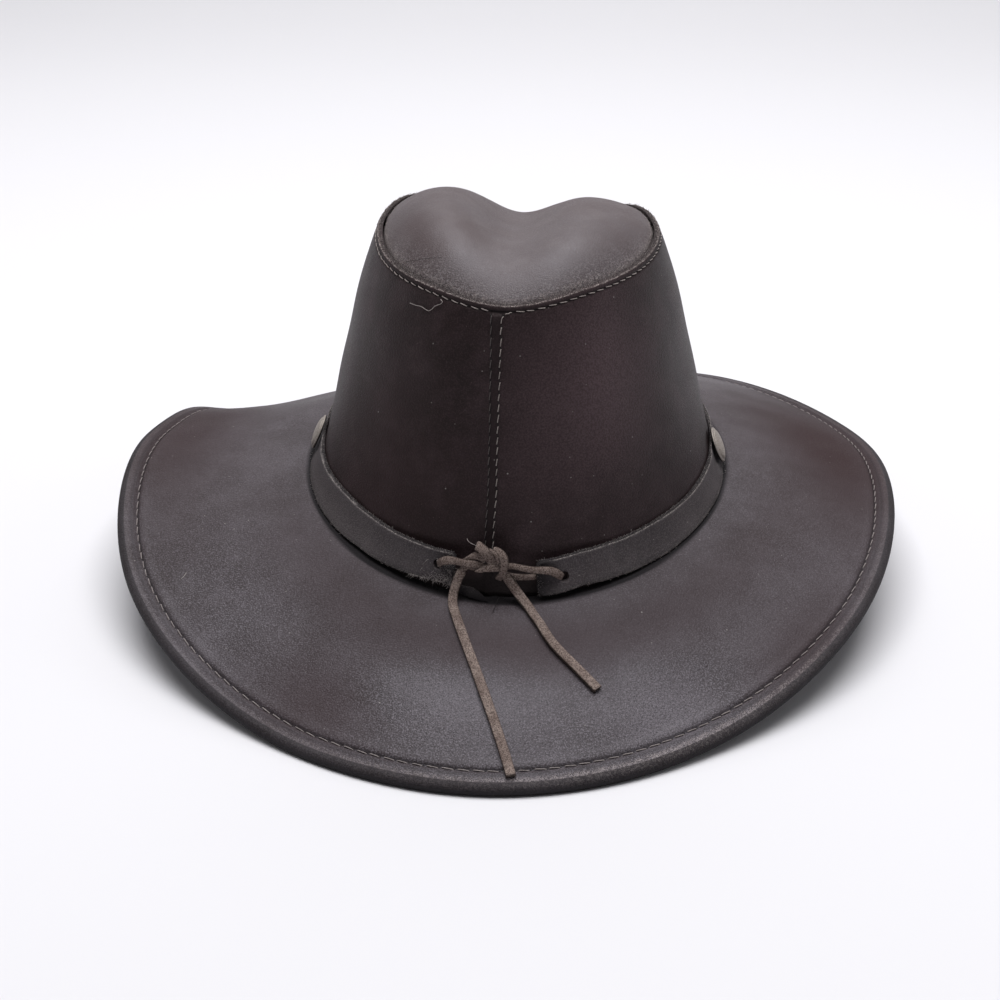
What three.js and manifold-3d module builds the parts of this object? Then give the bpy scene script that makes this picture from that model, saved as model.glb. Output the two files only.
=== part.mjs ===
// A cowboy hat of dark oiled leather: a wide brim with a rolled edge, a crown of one side panel
// sewn up the back and a dented top piece, a punched leather band that is tied at the back with
// a suede lace, and a round metal concho on each side of the band.
// Millimetres. +Z is up, +Y is the front of the hat, +X is the wearer's right.
// The hat rests on the plane z = 0 with the front and the back of its brim, and the middle of
// its outline is over the origin. "around" is an angle in degrees: 0 is the middle of the back,
// 90 the wearer's right, 180 the front.
import * as THREE from 'three';
import { mergeVertices } from 'three/addons/utils/BufferGeometryUtils.js';
import Module from 'manifold-3d';

const wasm = await Module();
wasm.setup();

// Leather
const PANEL = 2.0;
const BRIM_SHEET = 2.4;
const GAP = 0.3;

// Break line, where the brim leaves the crown: an ellipse round the foot of the band
const BREAK_HALF_WIDTH = 88;
const BREAK_HALF_LENGTH = 109;
const BREAK_SIDE_LIFT = 6.6;

// Brim
const EDGE_ROLL_RADIUS = 2.6;
const EDGE_FLATTENED = 0.6;
const BRIM_BEND = 0.12;
const BRIM_ROWS = [
  { around: 0, reach: 72.5, drop: 30.5 },
  { around: 30, reach: 65.7, drop: 29.9 },
  { around: 60, reach: 66.8, drop: 18.2 },
  { around: 90, reach: 68.0, drop: 11.6 },
  { around: 120, reach: 73.5, drop: 21.5 },
  { around: 150, reach: 73.0, drop: 27.7 },
  { around: 180, reach: 70.5, drop: 43.0 },
  { around: 210, reach: 70.0, drop: 45.0 },
  { around: 240, reach: 72.0, drop: 27.0 },
  { around: 270, reach: 74.2, drop: 4.2 },
  { around: 300, reach: 76.0, drop: 17.0 },
  { around: 330, reach: 71.2, drop: 31.0 },
];
const BRIM_RIPPLES = [
  { around: 251, rise: 5, halfWidth: 9 },
];

// The hat rests pitched back by this angle, because its brim hangs lower at the front
const REST_PITCH = 1.7;

// Crown: its outside at the break and along the seam that holds the top piece
const CROWN_INSET = 5.5;
const FOOT_FLARE = 3.2;
const FOOT_HEIGHT = 5;
const WALL_INWARD_BEND = 0.123;
const WALL_BEND_POWER = 7;
const SEAM_HALF_WIDTH = 54.8;
const SEAM_BACK_WIDENING = 0.043;
const SEAM_HALF_LENGTH = 73.9;
const SEAM_MIDDLE_Y = -3.9;
const SEAM_ROWS = [
  { around: 0, height: 103.2 },
  { around: 30, height: 107.1 },
  { around: 60, height: 108.2 },
  { around: 90, height: 108.3 },
  { around: 120, height: 105.3 },
  { around: 150, height: 94.5 },
  { around: 180, height: 86.0 },
  { around: 210, height: 94.5 },
  { around: 240, height: 107.9 },
  { around: 270, height: 110.2 },
  { around: 300, height: 107.7 },
  { around: 330, height: 106.3 },
];
const FRONT_PINCHES = [
  { around: 148, share: 0.72, depth: 4.5, halfWidth: 20, halfHeight: 0.26 },
  { around: 212, share: 0.72, depth: 4.5, halfWidth: 20, halfHeight: 0.26 },
];

// Top piece: two humps and the dent between them, sloping down to the front
const TOP_TUCK = 0.7;
const TOP_MARGIN = 7;
const LEFT_HUMP = 122.5;
const RIGHT_HUMP = 118.0;
const HUMP_BLEND = 8;
const DENT_DEPTH = 12.6;
const DENT_X = -2.1;
const DENT_HALF_WIDTH = 18.8;
const TOP_FALL_FORWARD = 0.169;
const TOP_ROUNDING_POWER = 4.1;

// Band, an open strap whose two ends stand off the crown at the back
const BAND_LOW = 0.5;
const BAND_HIGH = 13.2;
const BAND_RIGHT_END = 8.7;
const BAND_LEFT_END = 348.6;
const BAND_END_LIFT = 2.8;
const BAND_LIFT_LENGTH = 30;
const HOLE_RADIUS = 2.3;
const HOLES = [
  { name: 'left', around: -15.8, up: 0.78 },
  { name: 'right', around: 15.4, up: 0.55 },
];

// Conchos: a disc with a rounded rim, a dome on its face and a short seat behind it
const CONCHO_DISC = { radius: 7.6, thickness: 1.3, rimRounding: 0.4 };
const CONCHO_SEAT = { radius: 3.0, height: 0.35 };
const CONCHO_DOME = { radius: 5.7, height: 2.2 };
const CONCHO_DOME_RINGS = [
  { radiusShare: 1, heightShare: 0 },
  { radiusShare: 0.8, heightShare: 0.5 },
  { radiusShare: 0.45, heightShare: 0.88 },
  { radiusShare: 0, heightShare: 1 },
];
const CONCHO_ABOVE_BREAK = 7.9;
const CONCHO_AROUND = 86.5;

// Lace: its routes, as places over the brim's upper side. "out" counts from the break line and
// "above" is the height over the brim. Two strands run from the knot through the holes and back
// behind the band; two roots leave the knot, and the loose tails go on from them.
const STRAND_RADIUS = 1.2;
const TAIL_RADIUS = 1.6;
const KNOT = { around: -1.2, out: -1.5, above: 13.4 };
const KNOT_HALF = { along: 5.8, outward: 3.3, up: 5.2 };
const KNOT_WRAP_RADIUS = 3.9;
const KNOT_WRAP_TILT = 28;
const STRANDS = [
  {
    name: 'left',
    radius: STRAND_RADIUS,
    rows: [
      { around: -2.0, out: -0.9, above: 12.7 },
      { around: -6.0, out: -0.4, above: 11.4 },
      { around: -11.5, out: -0.1, above: 10.9 },
      { around: -14.5, out: -0.2, above: 10.7 },
      { around: -16.1, out: -1.2, above: 10.7 },
      { around: -16.4, out: -2.9, above: 10.7 },
      { around: -16.1, out: -4.6, above: 10.7 },
      { around: -14.5, out: -5.5, above: 10.7 },
      { around: -11.5, out: -5.6, above: 10.7 },
      { around: -6.5, out: -4.8, above: 10.8 },
      { around: -2.5, out: -3.2, above: 11.6 },
    ],
  },
  {
    name: 'right',
    radius: STRAND_RADIUS,
    rows: [
      { around: 0.5, out: -0.7, above: 12.9 },
      { around: 5.0, out: 0.4, above: 11.2 },
      { around: 10.0, out: 0.8, above: 9.1 },
      { around: 14.0, out: 0.8, above: 7.9 },
      { around: 15.6, out: -0.2, above: 7.8 },
      { around: 15.9, out: -1.9, above: 7.8 },
      { around: 15.6, out: -3.6, above: 7.8 },
      { around: 14.0, out: -4.7, above: 7.8 },
      { around: 11.0, out: -4.75, above: 7.9 },
      { around: 6.0, out: -3.8, above: 8.4 },
      { around: 1.5, out: -2.0, above: 9.8 },
    ],
  },
  {
    name: 'left_root',
    radius: TAIL_RADIUS,
    rows: [
      { around: -1.6, out: -1.0, above: 12.0 },
      { around: -4.2, out: 0.4, above: 10.4 },
      { around: -6.4, out: 1.0, above: 8.4 },
    ],
  },
  {
    name: 'right_root',
    radius: TAIL_RADIUS,
    rows: [
      { around: 0.0, out: -1.2, above: 11.4 },
      { around: 0.9, out: -0.4, above: 8.9 },
      { around: 1.8, out: 0.3, above: 6.6 },
    ],
  },
];
const TAILS = [
  {
    name: 'left',
    rows: [
      { around: -6.6, out: 1.1, above: 8.15 },
      { around: -8.6, out: 2.0, above: 5.8 },
      { around: -10.0, out: 3.9, above: 3.1 },
      { around: -10.1, out: 6.5, above: 1.95 },
      { around: -8.9, out: 10.4, above: 1.95 },
      { around: -5.8, out: 20.7, above: 1.95 },
      { around: -3.0, out: 31.6, above: 1.95 },
      { around: -0.9, out: 42.1, above: 1.95 },
      { around: 0.65, out: 51.6, above: 1.95 },
      { around: 1.9, out: 61.2, above: 1.95 },
      { around: 2.4, out: 66.0, above: 2.1 },
      { around: 2.75, out: 70.4, above: 2.95 },
    ],
  },
  {
    name: 'right',
    rows: [
      { around: 1.95, out: 0.42, above: 6.25 },
      { around: 3.4, out: 1.9, above: 3.9 },
      { around: 5.0, out: 4.4, above: 2.2 },
      { around: 6.8, out: 8.6, above: 1.95 },
      { around: 8.3, out: 13.3, above: 1.95 },
      { around: 9.6, out: 18.6, above: 1.95 },
      { around: 11.0, out: 23.8, above: 1.95 },
      { around: 13.3, out: 31.3, above: 1.95 },
      { around: 15.6, out: 40.2, above: 1.95 },
    ],
  },
];

// How finely the surfaces are stepped
const STATIONS = 72;
const BAND_STATIONS = 72;
const BRIM_SHARES = [0.1, 0.24, 0.4, 0.58, 0.76, 0.9];
const EDGE_ROLL_ANGLES = [146, 108, 70, 32, -8, -34, -60, -90, -120, -146];
const WALL_OUTSIDE_SHARES = [0, 0.025, 0.06, 0.13, 0.28, 0.46, 0.64, 0.8, 0.92, 1];
const WALL_INSIDE_SHARES = [1, 0.96, 0.9, 0.64, 0.4, 0.16, 0.05, 0];
const TOP_UPPER_RIMS = [0.2, 0.4, 0.58, 0.74, 0.87, 0.96, 1];
const TOP_LOWER_RIMS = [0.955, 0.8, 0.56, 0.28];
const CONCHO_SIDES = 16;
const HOLE_SIDES = 12;
const KNOT_SIDES = 12;
const KNOT_RINGS = 8;
const KNOT_WRAP_STEPS = 16;
const LACE_SIDES = 8;
const LACE_STEP = 4;

const { degToRad: radians, euclideanModulo, lerp, smoothstep } = THREE.MathUtils;

// A column of the table at any angle, as a smooth curve through its rows
function roundTheHat(rows, column, around) {
  const step = 360 / rows.length;
  const place = euclideanModulo(around, 360) / step;
  const row = Math.floor(place);
  const share = place - row;
  const value = (offset) => rows[(row + offset + rows.length) % rows.length][column];
  const slopeStart = (value(1) - value(-1)) / 2;
  const slopeEnd = (value(2) - value(0)) / 2;
  const square = share * share;
  const cube = square * share;
  return (2 * cube - 3 * square + 1) * value(0) + (cube - 2 * square + share) * slopeStart
    + (3 * square - 2 * cube) * value(1) + (cube - square) * slopeEnd;
}

// Unit vector that points away from the head, square to the break line
function outward(around) {
  const turn = radians(around);
  return new THREE.Vector3(
    Math.sin(turn) / BREAK_HALF_WIDTH,
    -Math.cos(turn) / BREAK_HALF_LENGTH,
    0,
  ).normalize();
}

const restPitch = radians(REST_PITCH);
const breakHeight = backFloorToBreak();

// Height of the floor in the hat's own frame, which is pitched as it rests
function floorAt(y) {
  return -y * Math.tan(restPitch);
}

// The back of the brim touches the floor, its rolled edge pressed a little flat
function backFloorToBreak() {
  const edgeY = -BREAK_HALF_LENGTH - BRIM_ROWS[0].reach;
  return floorAt(edgeY) + EDGE_ROLL_RADIUS - EDGE_FLATTENED + BRIM_ROWS[0].drop;
}

function breakPoint(around) {
  const turn = radians(around);
  const lift = BREAK_SIDE_LIFT * (1 - Math.cos(2 * turn)) / 2;
  return new THREE.Vector3(
    BREAK_HALF_WIDTH * Math.sin(turn),
    -BREAK_HALF_LENGTH * Math.cos(turn),
    breakHeight + lift,
  );
}

// Height of the middle of the rolled edge; where it would hang below the floor, it rests on it
function edgeHeight(around) {
  const middle = breakPoint(around);
  const reach = roundTheHat(BRIM_ROWS, 'reach', around);
  middle.z -= roundTheHat(BRIM_ROWS, 'drop', around);
  for (const ripple of BRIM_RIPPLES) {
    middle.z += ripple.rise * Math.exp(-(((around - ripple.around) / ripple.halfWidth) ** 2));
  }
  middle.addScaledVector(outward(around), reach);
  return Math.max(middle.z, floorAt(middle.y) + EDGE_ROLL_RADIUS - EDGE_FLATTENED);
}

// Upper side of the brim, at a distance out from the break line
function brimPoint(around, out) {
  const reach = roundTheHat(BRIM_ROWS, 'reach', around);
  const share = Math.max(out, 0) / reach;
  const fallen = (1 + BRIM_BEND) * share * share / (share + BRIM_BEND);
  const start = breakPoint(around);
  const top = start.z - GAP;
  const end = edgeHeight(around) + BRIM_SHEET / 2;
  const point = start.addScaledVector(outward(around), out);
  point.z = top + (end - top) * fallen;
  return point;
}

// Outside of the seam between the crown's side and its top piece
function seamPoint(around) {
  const turn = radians(around);
  return new THREE.Vector3(
    SEAM_HALF_WIDTH * Math.sin(turn) * (1 + SEAM_BACK_WIDENING * Math.cos(turn)),
    SEAM_MIDDLE_Y - SEAM_HALF_LENGTH * Math.cos(turn),
    breakHeight + roundTheHat(SEAM_ROWS, 'height', around),
  );
}

function pinchDepth(around, share) {
  let depth = 0;
  for (const pinch of FRONT_PINCHES) {
    const aside = (around - pinch.around) / pinch.halfWidth;
    const above = (share - pinch.share) / pinch.halfHeight;
    depth += pinch.depth * Math.exp(-aside * aside - above * above);
  }
  return depth;
}

// Crown wall: share 0 is its foot on the brim and 1 the seam, "out" counts from its outside
function wallPoint(around, share, out = 0) {
  const turn = radians(around);
  const foot = breakPoint(around);
  const height = (seamPoint(around).z - foot.z) * share;
  foot.x = (BREAK_HALF_WIDTH - CROWN_INSET) * Math.sin(turn);
  foot.y = -(BREAK_HALF_LENGTH - CROWN_INSET) * Math.cos(turn);
  const lean = lerp(share, share ** WALL_BEND_POWER, WALL_INWARD_BEND);
  const point = foot.clone().lerp(seamPoint(around), lean);
  point.z = foot.z + height;
  const flare = FOOT_FLARE * Math.exp(-height / FOOT_HEIGHT);
  return point.addScaledVector(outward(around), out + flare - pinchDepth(around, share));
}

// The same wall by the height above the break
function wallPointAt(around, height, out) {
  return wallPoint(around, height / (seamPoint(around).z - breakPoint(around).z), out);
}

// Turns a grid of points into one closed body. Each section is a list of points; with ring the
// last section meets the first, otherwise the two end sections are closed with a fan.
function skin(sections, { ring, round = true }) {
  const count = sections[0].length;
  const positions = sections.flat().flatMap((point) => point.toArray());
  const triangles = [];
  const spans = ring ? sections.length : sections.length - 1;
  const steps = round ? count : count - 1;
  for (let section = 0; section < spans; section += 1) {
    const here = section * count;
    const next = ((section + 1) % sections.length) * count;
    for (let step = 0; step < steps; step += 1) {
      const after = (step + 1) % count;
      triangles.push(here + step, here + after, next + after, here + step, next + after, next + step);
    }
  }
  if (!ring) {
    const last = (sections.length - 1) * count;
    for (let step = 1; step < count - 1; step += 1) {
      triangles.push(0, step + 1, step, last, last + step, last + step + 1);
    }
  }
  return outwardFacing(positions, triangles);
}

// A dish: rings of points between two poles, the first above it and the last below
function dish(topPole, rings, bottomPole) {
  const count = rings[0].length;
  const points = [topPole, ...rings.flat(), bottomPole];
  const bottom = points.length - 1;
  const lastRing = bottom - count;
  const triangles = [];
  for (let step = 0; step < count; step += 1) {
    const after = (step + 1) % count;
    triangles.push(0, 1 + step, 1 + after, bottom, lastRing + after, lastRing + step);
    for (let ring = 0; ring < rings.length - 1; ring += 1) {
      const here = 1 + ring * count;
      const next = here + count;
      triangles.push(here + step, next + step, next + after, here + step, next + after, here + after);
    }
  }
  return outwardFacing(points.flatMap((point) => point.toArray()), triangles);
}

// Faces that enclose a negative volume point inwards, and are turned over
function outwardFacing(positions, triangles) {
  const corner = (index) => new THREE.Vector3().fromArray(positions, index * 3);
  let volume = 0;
  for (let face = 0; face < triangles.length; face += 3) {
    const [a, b, c] = triangles.slice(face, face + 3).map(corner);
    volume += a.dot(b.cross(c));
  }
  const geometry = new THREE.BufferGeometry();
  geometry.setAttribute('position', new THREE.Float32BufferAttribute(positions, 3));
  geometry.setIndex(volume < 0 ? triangles.reverse() : triangles);
  geometry.computeVertexNormals();
  return geometry;
}

function toSolid(geometry) {
  const bare = geometry.clone();
  bare.deleteAttribute('normal');
  bare.deleteAttribute('uv');
  const merged = mergeVertices(bare);
  return new wasm.Manifold(new wasm.Mesh({
    numProp: 3,
    vertProperties: new Float32Array(merged.attributes.position.array),
    triVerts: new Uint32Array(merged.index.array),
  }));
}

function fromSolid(solid) {
  const mesh = solid.getMesh();
  const geometry = new THREE.BufferGeometry();
  geometry.setAttribute('position', new THREE.Float32BufferAttribute(mesh.vertProperties, 3));
  geometry.setIndex(Array.from(mesh.triVerts));
  geometry.computeVertexNormals();
  return geometry;
}

function everyStation(make) {
  return Array.from({ length: STATIONS }, (_, station) => make(station * 360 / STATIONS));
}

// Brim: a sheet with a flat inner margin under the crown, rolled over a wire at its edge
function brimGeometry() {
  const margin = CROWN_INSET + PANEL;
  const section = (around) => {
    const reach = roundTheHat(BRIM_ROWS, 'reach', around);
    const away = outward(around);
    const outs = [-margin, 0, ...BRIM_SHARES.map((share) => share * reach)];
    const upper = outs.map((out) => brimPoint(around, out));
    const lower = upper.map((point) => point.clone().setZ(point.z - BRIM_SHEET)).reverse();
    const middle = brimPoint(around, reach).setZ(edgeHeight(around));
    const roll = EDGE_ROLL_ANGLES.map((angle) => {
      const point = middle.clone();
      point.addScaledVector(away, EDGE_ROLL_RADIUS * Math.cos(radians(angle)));
      point.z += EDGE_ROLL_RADIUS * Math.sin(radians(angle));
      return point.setZ(Math.max(point.z, floorAt(point.y)));
    });
    return [...upper, ...roll, ...lower];
  };
  return skin(everyStation(section), { ring: true });
}

// Side of the crown: one panel whose foot turns out onto the brim
function crownSideGeometry() {
  const section = (around) => [
    ...WALL_OUTSIDE_SHARES.map((share) => wallPoint(around, share)),
    ...WALL_INSIDE_SHARES.map((share) => wallPoint(around, share, -PANEL)),
  ];
  return skin(everyStation(section), { ring: true });
}

// Upper side of the top piece: rim 0 is its middle and 1 its edge, inside the crown wall
function topPoint(around, rim) {
  const edge = wallPoint(around, 1, -PANEL - GAP);
  const x = edge.x * rim;
  const y = SEAM_MIDDLE_Y + (edge.y - SEAM_MIDDLE_Y) * rim;
  const side = 1 / (1 + Math.exp((DENT_X - x) / HUMP_BLEND));
  const dent = DENT_DEPTH * Math.exp(-(((x - DENT_X) / DENT_HALF_WIDTH) ** 2));
  const hump = lerp(LEFT_HUMP, RIGHT_HUMP, side);
  const inner = breakHeight + hump - dent - TOP_FALL_FORWARD * y;
  const height = lerp(inner, edge.z - TOP_TUCK, rim ** TOP_ROUNDING_POWER);
  return new THREE.Vector3(x, y, height);
}

// Top piece: a dented sheet with a margin turned down inside the side panel
function crownTopGeometry() {
  const lowest = (around) => 1 - TOP_MARGIN / (seamPoint(around).z - breakPoint(around).z);
  const below = (point) => point.setZ(point.z - PANEL);
  const rings = [
    ...TOP_UPPER_RIMS.map((rim) => everyStation((around) => topPoint(around, rim))),
    everyStation((around) => wallPoint(around, lowest(around), -PANEL - GAP)),
    everyStation((around) => wallPoint(around, lowest(around), -2 * PANEL - GAP)),
    ...TOP_LOWER_RIMS.map((rim) => everyStation((around) => below(topPoint(around, rim)))),
  ];
  return dish(topPoint(0, 0), rings, below(topPoint(0, 0)));
}

// Band: up 0 is its lower edge and 1 its upper edge, "out" counts from its inside
function bandPoint(around, up, out) {
  const fromRightEnd = around - BAND_RIGHT_END;
  const fromLeftEnd = BAND_LEFT_END - around;
  const fromEnd = Math.min(fromRightEnd, fromLeftEnd);
  const lift = BAND_END_LIFT * smoothstep(BAND_LIFT_LENGTH - fromEnd, 0, BAND_LIFT_LENGTH);
  const low = wallPointAt(around, BAND_LOW, GAP + lift + out);
  const high = wallPointAt(around, BAND_HIGH, GAP + lift + out);
  return low.lerp(high, up);
}

function bandGeometry() {
  const step = (BAND_LEFT_END - BAND_RIGHT_END) / (BAND_STATIONS - 1);
  const section = (around) => [
    bandPoint(around, 0, 0),
    bandPoint(around, 1, 0),
    bandPoint(around, 1, PANEL),
    bandPoint(around, 0, PANEL),
  ];
  const sections = Array.from({ length: BAND_STATIONS }, (_, index) => (
    section(BAND_RIGHT_END + index * step)
  ));
  let band = toSolid(skin(sections, { ring: false }));
  for (const hole of HOLES) {
    const punch = new THREE.CylinderGeometry(HOLE_RADIUS, HOLE_RADIUS, 5 * PANEL, HOLE_SIDES);
    const around = euclideanModulo(hole.around, 360);
    const axis = outward(around);
    punch.applyQuaternion(new THREE.Quaternion().setFromUnitVectors(THREE.Object3D.DEFAULT_UP, axis));
    const middle = bandPoint(around, hole.up, PANEL / 2);
    punch.translate(middle.x, middle.y, middle.z);
    band = band.subtract(toSolid(punch));
  }
  return fromSolid(band);
}

// Concho, turned round +Y, with the middle of its seat at the origin
function conchoGeometry() {
  const { radius, thickness, rimRounding } = CONCHO_DISC;
  const back = CONCHO_SEAT.height;
  const face = back + thickness;
  const dome = CONCHO_DOME_RINGS.map(({ radiusShare, heightShare }) => (
    new THREE.Vector2(CONCHO_DOME.radius * radiusShare, face + CONCHO_DOME.height * heightShare)
  ));
  const profile = [
    new THREE.Vector2(0, 0),
    new THREE.Vector2(CONCHO_SEAT.radius, 0),
    new THREE.Vector2(CONCHO_SEAT.radius, back),
    new THREE.Vector2(radius - rimRounding, back),
    new THREE.Vector2(radius, back + rimRounding),
    new THREE.Vector2(radius, face - rimRounding),
    new THREE.Vector2(radius - rimRounding, face),
    ...dome,
  ];
  return new THREE.LatheGeometry(profile, CONCHO_SIDES);
}

function placeConcho(mesh, around) {
  const height = breakPoint(around).z + CONCHO_ABOVE_BREAK;
  const low = bandPoint(around, 0, PANEL + GAP);
  const high = bandPoint(around, 1, PANEL + GAP);
  const up = high.clone().sub(low).normalize();
  const along = new THREE.Vector3(-outward(around).y, outward(around).x, 0);
  const away = along.clone().cross(up).normalize();
  const share = (height - low.z) / (high.z - low.z);
  mesh.position.copy(low.lerp(high, share));
  mesh.quaternion.setFromRotationMatrix(new THREE.Matrix4().makeBasis(along.negate(), away, up));
}

// A place on the lace's route
function lacePoint({ around, out, above }) {
  const point = brimPoint(around, out);
  point.z += above;
  return point;
}

function laceTube(rows, radius) {
  const route = new THREE.CatmullRomCurve3(rows.map(lacePoint));
  const section = new THREE.Shape().absarc(0, 0, radius, 0, 2 * Math.PI, false);
  return new THREE.ExtrudeGeometry(section, {
    curveSegments: LACE_SIDES / 2,
    steps: Math.ceil(route.getLength() / LACE_STEP),
    bevelEnabled: false,
    extrudePath: route,
  });
}

// The tied part of the lace: the knot, its wrap, the strands through the holes and the roots
function laceTieGeometry() {
  const middle = lacePoint(KNOT);
  const core = new THREE.SphereGeometry(1, KNOT_SIDES, KNOT_RINGS);
  core.scale(KNOT_HALF.along, KNOT_HALF.outward, KNOT_HALF.up);
  core.translate(middle.x, middle.y, middle.z);
  const wrap = new THREE.TorusGeometry(
    KNOT_WRAP_RADIUS,
    STRAND_RADIUS,
    LACE_SIDES,
    KNOT_WRAP_STEPS,
  );
  wrap.rotateY(Math.PI / 2);
  wrap.scale(1, KNOT_HALF.outward / KNOT_WRAP_RADIUS, 1);
  wrap.rotateY(radians(KNOT_WRAP_TILT));
  wrap.translate(middle.x, middle.y, middle.z);
  const strands = STRANDS.map((strand) => laceTube(strand.rows, strand.radius));
  const pieces = [core, wrap, ...strands].map(toSolid);
  return fromSolid(pieces.reduce((tied, piece) => tied.add(piece)));
}

const oiledLeather = { roughness: 0.5, metalness: 0 };
const brimLeather = new THREE.MeshStandardMaterial({ color: 0x4b4144, ...oiledLeather });
const crownLeather = new THREE.MeshStandardMaterial({ color: 0x3a2f31, ...oiledLeather });
const topLeather = new THREE.MeshStandardMaterial({ color: 0x55494c, ...oiledLeather });
const bandLeather = new THREE.MeshStandardMaterial({ color: 0x3b3436, ...oiledLeather });
const suede = new THREE.MeshStandardMaterial({ color: 0x746864, roughness: 0.95, metalness: 0 });
const metal = new THREE.MeshStandardMaterial({ color: 0xb8b4b0, roughness: 0.35, metalness: 1 });

const hat = new THREE.Group();

function add(name, geometry, material) {
  const mesh = new THREE.Mesh(geometry, material);
  mesh.name = name;
  hat.add(mesh);
  return mesh;
}

add('brim', brimGeometry(), brimLeather);
add('crown_side', crownSideGeometry(), crownLeather);
add('crown_top', crownTopGeometry(), topLeather);
add('hatband', bandGeometry(), bandLeather);
placeConcho(add('concho_right', conchoGeometry(), metal), CONCHO_AROUND);
placeConcho(add('concho_left', conchoGeometry(), metal), 360 - CONCHO_AROUND);
add('lace_tie', laceTieGeometry(), suede);
for (const tail of TAILS) {
  add(`lace_tail_${tail.name}`, laceTube(tail.rows, TAIL_RADIUS), suede);
}

hat.rotation.x = restPitch;
const outline = new THREE.Box3().setFromObject(hat);
hat.position.x = -(outline.min.x + outline.max.x) / 2;
hat.position.y = -(outline.min.y + outline.max.y) / 2;

export default hat;
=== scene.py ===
# A cowboy hat of dark oiled leather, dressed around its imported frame.
# Shapes are worked out in the hat's own frame in millimetres, and to_world() then pitches the
# hat as it rests and gives metres. +Z is up, +Y the front of the hat, +X the wearer's right.
# "around" is an angle in degrees: 0 is the middle of the back, 90 the wearer's right and 180
# the front. Every random draw comes from a generator with a fixed seed.
# A pair of numbers is where a soft step starts and where it is full, or the least and the most of
# a draw. The TURN triples are start, end and step in degrees, and the ROWS triples first, last and
# count.
import math

import bpy
import numpy as np
from mathutils import Matrix, Vector


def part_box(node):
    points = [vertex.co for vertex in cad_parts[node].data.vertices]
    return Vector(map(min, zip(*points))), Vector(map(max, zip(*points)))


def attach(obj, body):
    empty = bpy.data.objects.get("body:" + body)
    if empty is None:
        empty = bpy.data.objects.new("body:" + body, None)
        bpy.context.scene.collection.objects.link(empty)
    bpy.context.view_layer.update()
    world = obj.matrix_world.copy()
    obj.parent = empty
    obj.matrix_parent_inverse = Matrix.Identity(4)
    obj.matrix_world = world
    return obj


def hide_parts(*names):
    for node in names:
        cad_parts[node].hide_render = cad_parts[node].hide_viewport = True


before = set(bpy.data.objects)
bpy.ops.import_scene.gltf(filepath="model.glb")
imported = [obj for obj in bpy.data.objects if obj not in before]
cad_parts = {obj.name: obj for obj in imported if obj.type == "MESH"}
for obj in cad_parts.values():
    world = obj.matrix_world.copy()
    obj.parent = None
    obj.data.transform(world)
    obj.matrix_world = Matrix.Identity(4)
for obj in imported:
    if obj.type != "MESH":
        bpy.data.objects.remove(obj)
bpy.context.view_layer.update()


def table(names, *rows):
    """A table whose columns are named once."""
    return [dict(zip(names.split(), row)) for row in rows]


def columns(rows, *names):
    """A table's columns as arrays."""
    return [np.array([row[name] for row in rows], float) for name in names]


# Leather, as in the solids
PANEL = 2.0
BRIM_SHEET = 2.4
GAP = 0.3

# Break line, where the brim leaves the crown
BREAK_HALF_WIDTH = 88
BREAK_HALF_LENGTH = 109
BREAK_SIDE_LIFT = 6.6

# Brim
EDGE_ROLL_RADIUS = 2.6
EDGE_FLATTENED = 0.6
BRIM_BEND = 0.12
BRIM_ROWS = table(
    "around reach drop",
    (0, 72.5, 30.5),
    (30, 65.7, 29.9),
    (60, 66.8, 18.2),
    (90, 68.0, 11.6),
    (120, 73.5, 21.5),
    (150, 73.0, 27.7),
    (180, 70.5, 43.0),
    (210, 70.0, 45.0),
    (240, 72.0, 27.0),
    (270, 74.2, 4.2),
    (300, 76.0, 17.0),
    (330, 71.2, 31.0),
)
BRIM_RIPPLES = table(
    "around rise half_width",
    (251, 5, 9),
)
REST_PITCH = 1.7
HEM_WIDTH = 12
HEM_THICKNESS = 0.8
EDGE_ZONE = 13
EDGE_ROW_STEP = 0.45
FOOT_ZONE = 6
INNER_ROWS = 22
ROLL_ROWS = 19
HEM_ROWS = 16
UNDER_REACH = 60
HEM_START = 0.5
HEM_STEP = 0.15
HEM_FADE = 0.2
ROLL_BLEND = 0.5
BRIM_STATIONS = 700
SWELL_HEIGHT = 0.3
SWELL_SIZE = 34
SWELL_FROM_EDGE = (6, 16)
SWELL_FROM_CROWN = (2, 12)
LAP_HEIGHT = 0.95
LAP_INNER = 5.1
LAP_OUTER = 3.2
BRIM_STITCH_INSET = 5.4
# In the "dark" column: painted shade along the stitch groove, with some grime, and at the lap's step
BRIM_LINES = table(
    "at half_width rise dark",
    (BRIM_STITCH_INSET + 2.2, 1.5, 0.22, 0),
    (BRIM_STITCH_INSET + 0.4, 0.45, 0, 0.65),
    (BRIM_STITCH_INSET, 0.6, -0.5, 0),
    (LAP_OUTER, 0.6, 0, 0.3),
)

# Crown
CROWN_INSET = 5.5
FOOT_FLARE = 3.2
FOOT_HEIGHT = 5
WALL_INWARD_BEND = 0.123
WALL_BEND_POWER = 7
SEAM_HALF_WIDTH = 54.8
SEAM_BACK_WIDENING = 0.043
SEAM_HALF_LENGTH = 73.9
SEAM_MIDDLE_Y = -3.9
SEAM_ROWS = table(
    "around height",
    (0, 103.2),
    (30, 107.1),
    (60, 108.2),
    (90, 108.3),
    (120, 105.3),
    (150, 94.5),
    (180, 86.0),
    (210, 94.5),
    (240, 107.9),
    (270, 110.2),
    (300, 107.7),
    (330, 106.3),
)
FRONT_PINCHES = table(
    "around share depth half_width half_height",
    (148, 0.72, 4.5, 20, 0.26),
    (212, 0.72, 4.5, 20, 0.26),
)

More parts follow.
